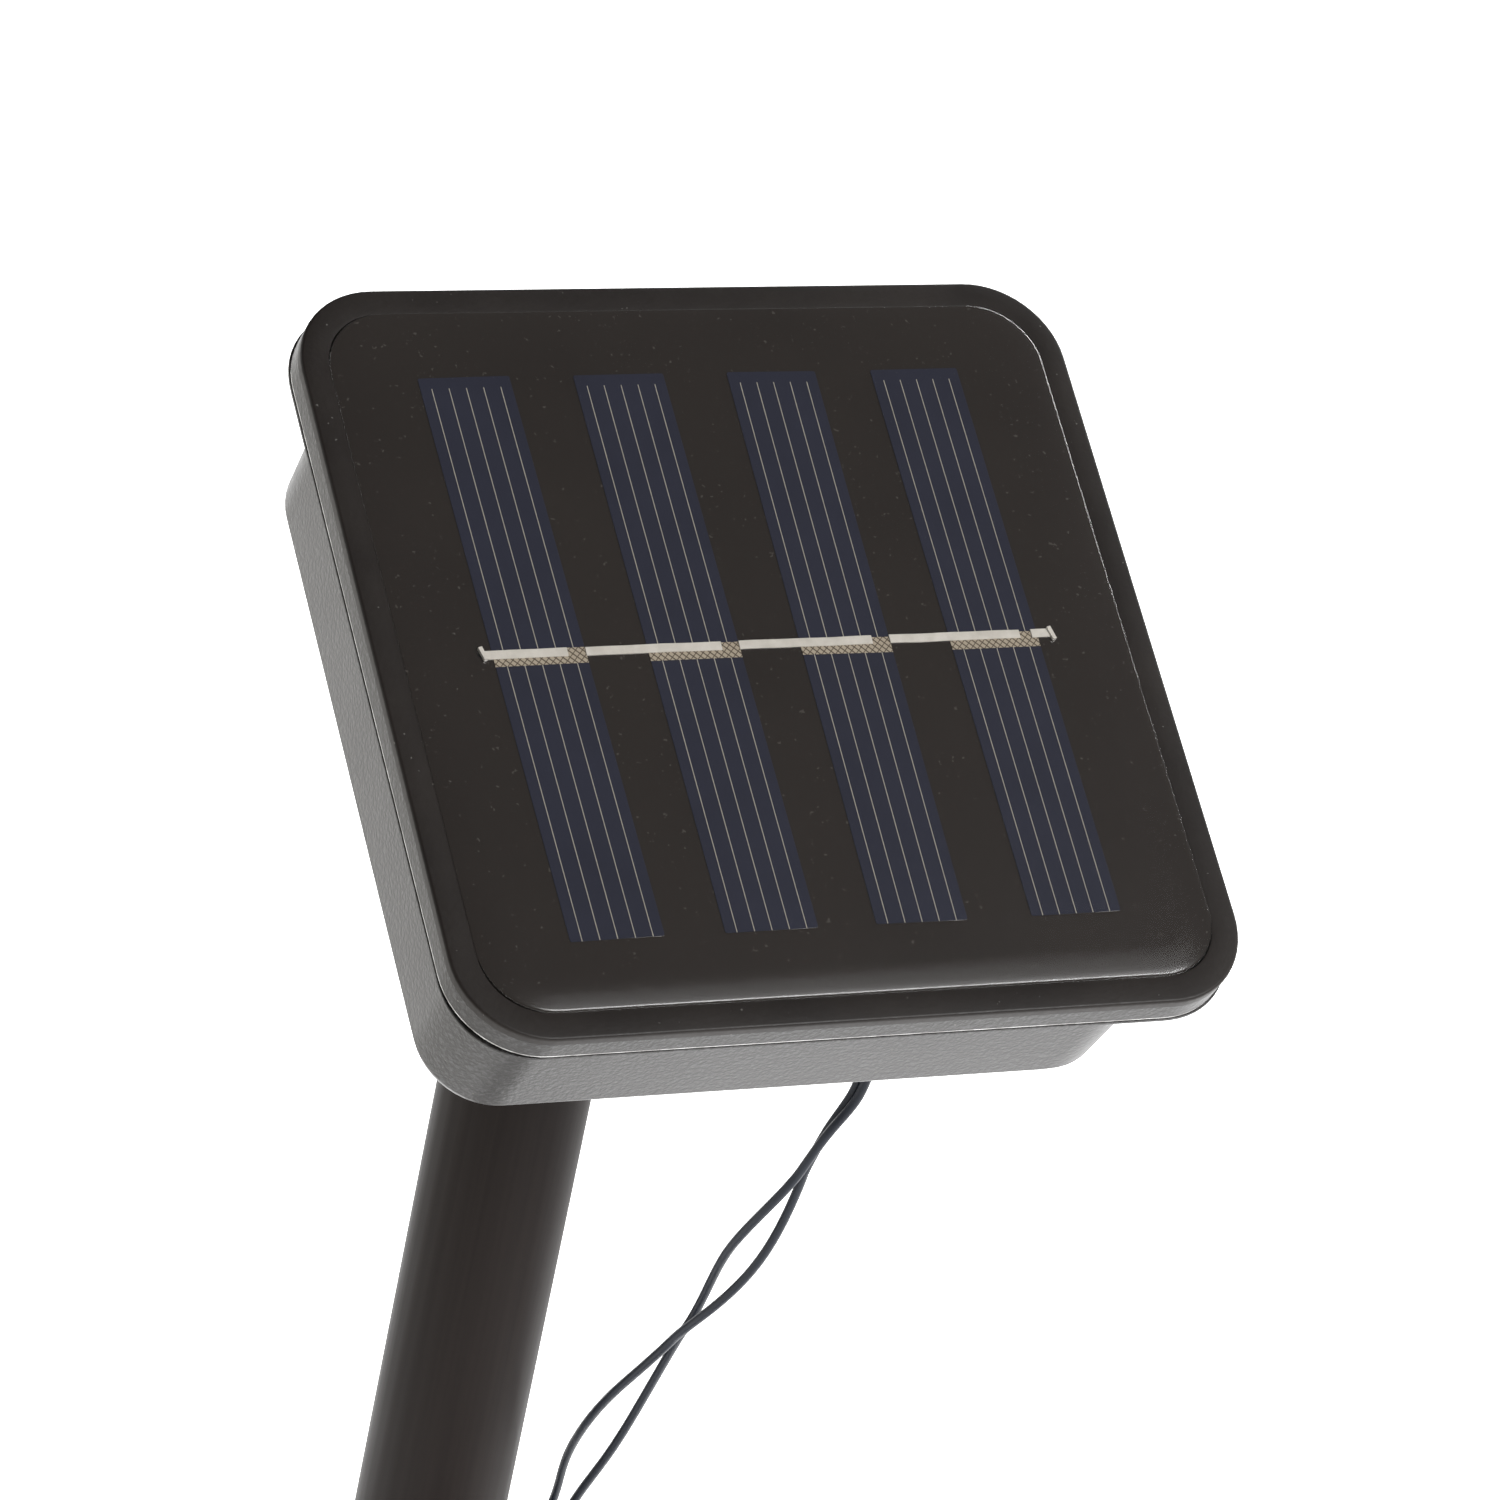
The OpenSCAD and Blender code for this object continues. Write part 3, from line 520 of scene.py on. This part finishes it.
clear("clear_resin", 0.2, (0.98, 0.97, 0.96), (0.30, 0.29, 0.27), 0.008)
clear("lamp_clear", 0.04, (0.97, 0.96, 0.92), (0.72, 0.70, 0.62), 0.10)
print("clear finishes ready")

# %% [markdown]
# ## The hidden pieces
# The battery, its contacts, the circuit board and the wires sit inside the head. They
# keep the frame's shapes, which are already right, and each gets its own finish: a
# shared recipe of two close colours mixed by a noise, a roughness that follows the same
# noise, and a bump of the size that its surface has.
# %% Plain materials for small pieces
def mottled(name, low, high, size_mm, roughness, metallic=0.0, depth=0.01, **constants):
    made = Finish(name, low, roughness, metallic, **constants)
    cloud = made.noise(size_mm, 3)
    made.give({"Base Color": made.mix(cloud, rgb(*low), rgb(*high)),
               "Roughness": cloud * 0.3 + max(0.05, roughness - 0.15)})
    made.bump(made.noise(size_mm * 0.4, 2), depth)


mottled("seal_rubber", (0.06, 0.06, 0.06), (0.10, 0.10, 0.10), 1.5, 0.7, depth=0.02)
mottled("button_rubber", (0.022, 0.022, 0.022), (0.040, 0.039, 0.038), 0.8, 0.55, depth=0.02)
mottled("zinc_steel", (0.50, 0.50, 0.48), (0.72, 0.72, 0.70), 1.2, 0.3, 1.0)
mottled("nickel_steel", (0.55, 0.53, 0.47), (0.75, 0.73, 0.66), 2, 0.25, 1.0)
mottled("switch_metal", (0.42, 0.42, 0.42), (0.62, 0.62, 0.62), 1, 0.35, 1.0)
mottled("board_green", (0.010, 0.09, 0.035), (0.02, 0.15, 0.06), 3, 0.3)
mottled("chip_black", (0.02, 0.02, 0.022), (0.045, 0.045, 0.05), 0.7, 0.5)
mottled("lead_red", (0.30, 0.02, 0.015), (0.45, 0.04, 0.03), 2, 0.35)
mottled("cell_wrap", (0.02, 0.16, 0.07), (0.04, 0.24, 0.11), 8, 0.25, Coat_Weight=0.5)
mottled("washer_nylon", (0.55, 0.53, 0.47), (0.70, 0.68, 0.62), 2, 0.5)
mottled("silver_cup", (0.62, 0.62, 0.60), (0.85, 0.85, 0.82), 0.6, 0.2, 1.0)
print("finishes:", len(finishes))


def dress(piece, name):
    piece.data.materials.clear()
    piece.data.materials.append(finishes[name].material)


for subpart in frame["record"]["subparts"]:
    dress(node[subpart["node"]], subpart["material_slot"])
for cord in (upper_cord, lower_cord):
    dress(cord, "cord_pvc")

# %% [markdown]
# ## Rounded squares
# Half of the head is one shape again and again: a square with round corners, stepped
# up or in. `rounded_square` bevels the corners of one grid face, and `step` takes the
# newest face, pushes it along Z and grows or shrinks it, leaving a ring of side faces
# behind. A whole tray is then a short list of steps, like turning a bowl. The first
# step mustn't shrink: it is the extrusion that leaves the start face as the bottom.
# `pour` adds a finished bmesh to another one, for pieces made of several solids.
# %% Rounded-square helpers
def rounded_square(bm, width, radius, height, corner, length=None):
    bmesh.ops.create_grid(bm, x_segments=1, y_segments=1, size=width / 2)
    if length:
        bmesh.ops.scale(bm, vec=(length / width, 1, 1), verts=bm.verts[:])
    bmesh.ops.bevel(bm, geom=bm.verts[:], offset=radius, offset_type="OFFSET", segments=corner,
                    profile=0.5, affect="VERTICES", material=-1, clamp_overlap=False)
    bmesh.ops.translate(bm, vec=(0, 0, height), verts=bm.verts[:])
    return bm.faces[:][0]


def step(bm, face, grow, rise):
    if grow < 0:
        bmesh.ops.inset_region(bm, faces=[face], thickness=-grow, use_even_offset=True)
        top = face
    else:
        made = bmesh.ops.extrude_face_region(bm, geom=[face])["geom"]
        top = next(g for g in made if isinstance(g, bmesh.types.BMFace))
        if grow > 0:
            low = Vector([min(v.co[i] for v in top.verts) for i in range(3)])
            high = Vector([max(v.co[i] for v in top.verts) for i in range(3)])
            sizes = [(high[i] - low[i] + 2 * grow) / (high[i] - low[i]) for i in range(2)]
            bmesh.ops.scale(bm, vec=(*sizes, 1), verts=top.verts[:])
    bmesh.ops.translate(bm, vec=(0, 0, rise), verts=top.verts[:])
    return top


def tray(steps, width, radius, height):
    bm = bmesh.new()
    face = rounded_square(bm, width, radius, height, 14)
    for grow, rise in steps:
        face = step(bm, face, grow, rise)
    return bm


def pour(one, into):
    part = bpy.data.meshes.new("part")
    one.to_mesh(part)
    one.free()
    into.from_mesh(part)
    bpy.data.meshes.remove(part)


# %% [markdown]
# ## The cover plate
# The cover is a square plate whose flat band frames the panel. Its visible edge is only
# a little over a millimetre thick and its top rim is softly rounded, which catches a
# thin line of light. The rim's rounding is five small steps along a quarter circle;
# then the band runs in, and the well for the panel's board drops down.
# %% Cover plate
def quarter(radius, count):
    turns = [math.pi / 2 * k / count for k in range(count + 1)]
    return [((math.cos(b) - math.cos(a)) * radius, (math.sin(b) - math.sin(a)) * radius)
            for a, b in zip(turns, turns[1:])]


edge_height, rim, band = 1.2, 0.4, 3.1
cover_steps = [(0, edge_height - rim)] + quarter(rim, 5)
cover_steps += [(rim - band, 0), (-0.36, -0.06), (-0.02, -0.54), (-30, 0)]
head_half, head_radius = 50.0, 11.0
cover = new_piece("cover", tray(cover_steps, 2 * head_half, head_radius, -edge_height), "head",
                  head_place, stands_for=["cover_plate"])
dress(cover, "casing_cover")
print("cover faces:", len(cover.data.polygons), "box:", [round(x * 1000, 1) for x in cover.dimensions])

# %% [markdown]
# ## Resin, cells and ribbon
# The clear resin was poured over the board and stands a little proud of the band, with
# a rounded shoulder all round, gentlest at the top, where it would mirror a light. The
# cells were laid by hand, so each is turned a fraction of a degree. A tinned ribbon
# runs over their pads: it is a row of thin strips, slightly wavy because they were
# pressed down by hand, with its tips folded over at the board's two holes.
# %% Resin
panel_width, resin_radius = 93.4, 8.38
shoulder = [(0, 0.08), (-0.12, 0.20), (-0.3, 0.08), (-0.6, 0.12), (-0.8, 0.12), (-0.9, 0.08), (-1.2, 0.04)]
resin = new_piece("resin", tray(shoulder, panel_width - 0.02, resin_radius, -0.1), "head",
                  head_place, stands_for=["panel_resin"], sharp=60)
dress(resin, "clear_resin")

# %% Cells
cell_width, cell_length, cell_pitch, cell_thickness = 11.7, 75.3, 19.55, 0.08
cells_x = [(i - 1.5) * cell_pitch - 0.3 for i in range(4)]
cell_turns = (0.8, 0.3, -0.4, 0.3)
for i, (x, turn) in enumerate(zip(cells_x, cell_turns), 1):
    bm = bmesh.new()
    bmesh.ops.create_grid(bm, x_segments=1, y_segments=1, size=0.5)
    bmesh.ops.scale(bm, vec=(cell_width, cell_length, 1), verts=bm.verts[:])
    bmesh.ops.bevel(bm, geom=bm.verts[:], offset=0.25, offset_type="OFFSET", segments=2, profile=0.5,
                    affect="VERTICES", material=-1)
    step(bm, bm.faces[:][0], 0, cell_thickness)
    uv = bm.loops.layers.uv.new("place")
    for face in bm.faces:
        for loop in face.loops:
            loop[uv].uv = loop.vert.co.xy * mm
    spot = Matrix.Translation((x, -0.1, 0)) @ Matrix.Rotation(math.radians(turn), 4, "Z")
    cell = new_piece(f"cell_{i}", bm, "head", head_place @ spot, stands_for=[f"solar_cell_{i}"])
    dress(cell, "silicon")

# %% Ribbon
ribbon_width, ribbon_thickness, ribbon_z, hole_x = 1.1, 0.14, 0.18, panel_width / 2 - 10
starts = [-hole_x] + [x + cell_width / 2 - 0.02 for x in cells_x[:3]] + [cells_x[3] + cell_width / 2 - 0.8]
stops = [x + 0.3 * cell_width for x in cells_x] + [hole_x]
ribbon = bmesh.new()
for number, (start, stop) in enumerate(zip(starts, stops)):
    strip = bmesh.new()
    bmesh.ops.create_grid(strip, x_segments=int(stop - start) + 1, y_segments=2, size=0.5)
    bmesh.ops.scale(strip, vec=(stop - start, ribbon_width, 1), verts=strip.verts[:])
    bmesh.ops.translate(strip, vec=((start + stop) / 2, -0.15, ribbon_z), verts=strip.verts[:])
    for v in strip.verts:
        v.co.y += 0.02 * math.sin(0.4 * v.co.x + number) + 0.004 * v.co.x
        v.co.z += 0.03 * math.sin(0.9 * v.co.x + 2 * number) + (0.04 if abs(v.co.y) < 0.5 else 0)
    bmesh.ops.solidify(strip, geom=strip.faces[:], thickness=ribbon_thickness)
    pour(strip, ribbon)
for x in (-hole_x, hole_x):
    tip = bmesh.ops.create_cube(ribbon, size=1)["verts"]
    bmesh.ops.scale(ribbon, vec=(0.5, 1.75, 0.42), verts=tip)
    bmesh.ops.rotate(ribbon, matrix=Matrix.Rotation(0.25, 3, "Z"), verts=tip)
    bmesh.ops.translate(ribbon, vec=(x, -0.15, 0.24), verts=tip)
ribbon_piece = new_piece("ribbon", ribbon, "head", head_place, stands_for=["tab_ribbons"])
dress(ribbon_piece, "tinned_copper")
print("ribbon strips:", len(starts))

# %% [markdown]
# ## The housing
# The housing's ears, screw holes, door recess and gland hole are already exact in the
# frame, so it would be wasteful to draw them again. What the frame leaves out is round
# the flange's side: a pale band painted on the rim as a painted highlight, a fine dark groove under it,
# and a lip below that stands out a little at the corners. A copy of the solid is joined into whole faces
# and cut by three planes. The upper ring between them gets the painted highlight finish, the lower one
# is pushed in, and the rims that are seen most are bevelled. `from_rim` tells how far
# outside the head's outline a point is, so that only the flange's side is touched.
# %% Groove and bevel the housing
def from_rim(co):
    dx, dy = [max(abs(c) - (head_half - head_radius), 0) for c in (co.x, co.y)]
    return math.hypot(dx, dy) - head_radius


groove_depth, lip_out, lip_bottom, rim_bevel = 0.5, 0.3, -5.02, 0.1
side_only, near = -0.3, 0.01
shell = bmesh.new()
shell.from_mesh(node["housing"].data)
bmesh.ops.transform(shell, matrix=head_place.inverted(), verts=shell.verts[:])
bmesh.ops.remove_doubles(shell, verts=shell.verts[:], dist=2e-3)
bmesh.ops.dissolve_limit(shell, angle_limit=math.radians(0.6), verts=shell.verts[:], edges=shell.edges[:])
# The first level is the top of the ring that gets the painted highlight finish.
highlight_band_top, groove_top, groove_bottom = levels = (-3.95, -4.2, -4.5)
for z in levels:
    bmesh.ops.bisect_plane(shell, geom=shell.verts[:] + shell.edges[:] + shell.faces[:],
                           plane_co=(0, 0, z), plane_no=(0, 0, 1), dist=1e-4)
middles = {f: f.calc_center_median() for f in shell.faces}
groove = [f for f, at in middles.items() if groove_bottom - near < at.z < groove_top + near
          and from_rim(at) > side_only]
pushed = bmesh.ops.extrude_face_region(shell, geom=groove)["geom"]
bmesh.ops.delete(shell, geom=[f for f in groove if f.is_valid], context="FACES")
deep = [g for g in pushed if isinstance(g, bmesh.types.BMVert)]
narrower = 1 - groove_depth / head_half
bmesh.ops.scale(shell, vec=(narrower, narrower, 1), verts=deep)
bmesh.ops.delete(shell, geom=[v for v in shell.verts if not v.link_faces], context="VERTS")
for v in shell.verts:
    x, y = [abs(c) - (head_half - head_radius) for c in v.co.xy]
    in_lip = lip_bottom < v.co.z < groove_bottom + near and from_rim(v.co) > -0.2
    if x > 0 and y > 0 and in_lip:
        out = Vector((math.copysign(x, v.co.x), math.copysign(y, v.co.y), 0)).normalized()
        v.co += out * lip_out * (2 * abs(out.x * out.y)) ** 1.5
rims = [e for e in shell.edges if e.is_manifold and e.calc_face_angle() > 0.9
        and all(from_rim(v.co) > -0.1 for v in e.verts) and abs(e.verts[0].co.z - e.verts[1].co.z) < near]
print("groove faces:", len(groove), "rims bevelled:", len(rims))
bmesh.ops.bevel(shell, geom=rims, offset=rim_bevel, offset_type="OFFSET", segments=2, profile=0.5,
                affect="EDGES", material=-1, clamp_overlap=True)
housing = new_piece("casing", shell, "head", head_place, stands_for=["housing"],
                    sharp=32, outward=False)
dress(housing, "casing_black")
housing.data.materials.append(finishes["painted_highlight_rim"].material)
# Faces of the upper ring on the flange's side get the painted highlight finish.
for face in housing.data.polygons:
    at = head_place.inverted() @ face.center
    if groove_top < at.z < highlight_band_top and from_rim(at) > side_only:
        face.material_index = 1
even_light = housing.modifiers.new("even light", "WEIGHTED_NORMAL")
even_light.keep_sharp = True

# %% [markdown]
# ## Softer edges
# A moulded or turned part has no knife edges. A Weld modifier joins the loose triangles
# of a piece of the frame, and a Bevel modifier rounds every edge that is sharper than
# 38 degrees, so each rim catches light. The mesh below stays untouched.
# %% Soften the frame's own pieces
soft_widths = {"knuckle": 0.5, "ground_spike": 0.4, "battery_door": 0.25, "power_button": 0.4,
               "mode_button": 0.4, "stake_tube": 0.2, "stake_tie": 0.3, "tilt_bolt": 0.2,
               "tilt_nut": 0.25, "tilt_washers": 0.1, "case_screws": 0.12, "door_screws": 0.1}
for name, width_mm in soft_widths.items():
    weld = node[name].modifiers.new("join", "WELD")
    weld.merge_threshold = 1e-6
    edge = node[name].modifiers.new("soft edges", "BEVEL")
    edge.width = width_mm * mm
    edge.segments = 2
    edge.limit_method = "ANGLE"
    edge.angle_limit = math.radians(38)
    edge.use_clamp_overlap = True
    edge.harden_normals = True
print("edges softened:", len(soft_widths))

# %% [markdown]
# ## Turned pieces
# The gland and the lamps are round, so one half-profile spun about an axis makes each.
# `turned` draws the profile's points as edges and lets bmesh spin them a full turn.
# %% Gland
def turned(bm, profile, steps):
    made = [bm.verts.new((r, 0, z)) for r, z in profile]
    edges = [bm.edges.new(pair) for pair in zip(made, made[1:])]
    bmesh.ops.spin(bm, geom=made + edges, cent=(0, 0, 0), axis=(0, 0, 1), angle=2 * math.pi, steps=steps,
                   use_merge=True)


back_z, inner_z, nose = -29.5, -27.5, 12.5
profile = [(1.4, inner_z + 1.2), (4.1, inner_z + 1.2), (4.4, inner_z + 0.9), (4.4, inner_z),
           (2.97, inner_z), (2.97, back_z), (4.2, back_z), (4.4, back_z - 0.2), (4.4, back_z - 1.2),
           (4.2, back_z - 1.4)]
for k in range(4):
    z = back_z - 1.7 - 2.6 * k
    r = 3.35 - 0.28 * k
    profile += [(r, z), (r - 0.05, z - 1.55), (r - 0.75, z - 1.75), (r - 0.8, z - 2.45)]
profile = profile[:-2] + [(2.15, back_z - nose + 0.25), (1.95, back_z - nose), (1.45, back_z - nose),
                          (1.4, back_z - nose + 0.2), (1.4, inner_z + 1.2)]
bm = bmesh.new()
turned(bm, profile, 40)
gland = new_piece("gland", bm, "head",
                  head_place @ Matrix.Translation((gland_x, gland_y, 0)), stands_for=["cord_gland"])
dress(gland, "button_rubber")
print("gland faces:", len(gland.data.polygons))

# %% [markdown]
# ## The lamps
# Each lamp is a clear bullet-shaped diode with a rim at its foot. Its two legs and the
# spliced wires hide in a short shrink tube that is a little wrinkled, and inside the
# epoxy a bright cup and a post hold the chip. One lamp is drawn once; a matrix for each
# of the twenty places on the coil lays out the copies, every second one leaning out,
# each a few degrees off, as they fall when the string is wound.
# %% Lamps
def lamp_place(i):
    out = i % 2 == 0
    lean_out = (60 if out else 24) + 9 * math.cos(math.radians(101 * i))
    askew = 9 * math.sin(math.radians(137 * i))
    return (Matrix.Translation(coil_centre) @ Matrix.Rotation(math.radians(18 * i), 4, "Z")
            @ Matrix.Translation((coil_radius + (6.2 if out else 1), 0, 14.75 - (1.6 if out else 0.4)))
            @ Matrix.Rotation(math.radians(lean_out), 4, "Y")
            @ Matrix.Rotation(math.radians(askew), 4, "X"))


def twenty(draw):
    bm = bmesh.new()
    for i in range(1, 21):
        one = bmesh.new()
        draw(one, i)
        bmesh.ops.remove_doubles(one, verts=one.verts[:], dist=1e-4)
        bmesh.ops.transform(one, matrix=lamp_place(i), verts=one.verts[:])
        pour(one, bm)
    return bm


sleeve_length = 9.0


def draw_sleeve(bm, i):
    steps = 14
    skin = [(2.36 - 0.10 * math.sin(2.4 * k + i) - (0.25 if k in (0, steps) else 0),
             sleeve_length * k / steps) for k in range(steps + 1)]
    turned(bm, [(0, 0)] + skin + [(0, sleeve_length)], 14)


def draw_lens(bm, i):
    low = sleeve_length
    dome = [(2.5 * math.cos(math.pi / 2 * k / 7), low + 5.5 + 2.5 * math.sin(math.pi / 2 * k / 7))
            for k in range(7)]
    turned(bm, [(0, low), (2.8, low), (2.9, low + 0.15), (2.9, low + 1.05), (2.8, low + 1.2),
                (2.5, low + 1.25)] + dome + [(0, low + 8)], 18)


def draw_cup(bm, i):
    low = sleeve_length
    turned(bm, [(0, low + 0.8), (0.45, low + 0.8), (0.5, low + 3.0), (1.15, low + 4.4),
                (1.15, low + 4.6), (0.95, low + 4.6), (0.4, low + 3.7), (0, low + 3.7)], 10)
    post = bmesh.ops.create_cube(bm, size=1)["verts"]
    bmesh.ops.scale(bm, vec=(0.5, 0.45, 3.7), verts=post)
    bmesh.ops.translate(bm, vec=(-1.45, 0, low + 2.7), verts=post)


sleeves = new_piece("sleeves", twenty(draw_sleeve), "spike", stands_for=["lamp_sleeves"])
dress(sleeves, "sleeve_black")
lenses = new_piece("lenses", twenty(draw_lens), "spike", stands_for=["lamp_lenses"],
                   sharp=50)
dress(lenses, "lamp_clear")
cups = new_piece("cups", twenty(draw_cup), "spike")
dress(cups, "silver_cup")
print("lamp faces:", [len(p.data.polygons) for p in (sleeves, lenses, cups)])

# %% [markdown]
# ## Straps on the coil
# Three flat straps bind the coil. The bundle's section is a rounded rectangle, so a
# strap is that outline, grown by its own thickness, cut out to a ring, given its width
# and bevelled.
# %% Straps
bundle_width, bundle_height, bundle_middle_z = 15.6, 13.85, 7.83
strap_width, strap_thickness, strap_room = 2.4, 0.7, 0.96
straps = bmesh.new()
for angle in (-9, 117, 243):
    one = bmesh.new()
    middle = rounded_square(one, bundle_height + strap_room, 2.45, -strap_width / 2, 5,
                            length=bundle_width + strap_room)
    bmesh.ops.inset_region(one, faces=[middle], thickness=strap_thickness, use_boundary=True,
                           use_even_offset=True)
    bmesh.ops.delete(one, geom=[middle], context="FACES_ONLY")
    wall = bmesh.ops.extrude_face_region(one, geom=one.faces[:])["geom"]
    bmesh.ops.translate(one, vec=(0, 0, strap_width),
                        verts=[g for g in wall if isinstance(g, bmesh.types.BMVert)])
    bmesh.ops.recalc_face_normals(one, faces=one.faces[:])
    corners = [e for e in one.edges if e.is_manifold and e.calc_face_angle() > 1.2]
    bmesh.ops.bevel(one, geom=corners, offset=0.12, offset_type="OFFSET", segments=2, profile=0.5,
                    affect="EDGES", material=-1)
    bmesh.ops.transform(one, verts=one.verts[:], matrix=(
        Matrix.Translation(coil_centre) @ Matrix.Rotation(math.radians(angle), 4, "Z")
        @ Matrix.Translation((coil_radius, 0, bundle_middle_z)) @ Matrix.Rotation(math.pi / 2, 4, "X")))
    pour(one, straps)
strap_piece = new_piece("coil_straps", straps, "spike", stands_for=["coil_ties"])
dress(strap_piece, "tie_nylon")
print("straps:", len(strap_piece.data.polygons), "faces")

lower_line[0] * mm
lower_length * mm
[p * mm for p in lower_line]

# %% [markdown]
# ## Floor, backdrop and light
# The pieces stand on a plain pale floor at soil level, so the spike is below it. What a
# black plastic looks like is mostly what it mirrors: its side walls face the floor and
# read grey, while the panel faces up and away, where the studio is dim. So the paper
# glows by itself, a little less on the left, and the four soft boxes are weak. Two light
# the tube and the walls from behind, one the front wall from the right, and the small
# glow box is there only for the faint shine along the resin's lower shoulder.
# %% Floor and lights
bm = bmesh.new()
bmesh.ops.create_grid(bm, x_segments=1, y_segments=1, size=4)
floor_mesh = bpy.data.meshes.new("floor")
bm.to_mesh(floor_mesh)
bm.free()
floor = bpy.data.objects.new("floor", floor_mesh)
bpy.context.scene.collection.objects.link(floor)
paper = Finish("paper", (0.9, 0.9, 0.9), 0.9, Emission_Color=(1, 1, 1, 1), Emission_Strength=1.25)
to_the_right = paper.between(paper.add("SeparateXYZ", {}, {0: paper.here()}), -0.22, -0.02)
paper.give({"Base Color": paper.mix(paper.noise(300, 2), rgb(0.88, 0.88, 0.88), rgb(0.92, 0.92, 0.92)),
            "Emission Color": paper.mix(to_the_right, rgb(0.62, 0.60, 0.55), rgb(1, 1, 1))})
dress(floor, "paper")


def soft_box(name, spot, aim, size, watts):
    data = bpy.data.lights.new(name, "AREA")
    data.shape = "RECTANGLE"
    data.size, data.size_y = size
    data.energy = watts
    box = bpy.data.objects.new(name, data)
    box.location = spot
    box.rotation_euler = (Vector(aim) - Vector(spot)).to_track_quat("-Z", "Y").to_euler()
    bpy.context.scene.collection.objects.link(box)


soft_box("left box", (-1.5, 1.3, 0.9), (0, 0, 0), (1.2, 1.0), 8)
soft_box("right box", (1.6, 1.2, 0.9), (0, 0, 0), (1.2, 1.0), 34)
soft_box("front box", (0.9, -1.35, 1.6), (0, 0, 0.2), (1.2, 0.6), 36)
soft_box("glow box", (0.72, -0.62, 1.6), (0, 0, 0.2), (0.8, 0.4), 1.1)
world = bpy.data.worlds.new("studio")
world.use_nodes = True
sky = world.node_tree.nodes["Background"].inputs
sky["Color"].default_value = rgb(1, 1, 1)
sky["Strength"].default_value = 0.12
bpy.context.scene.world = world
bpy.context.scene.view_settings.view_transform = "Standard"
print("lights placed")
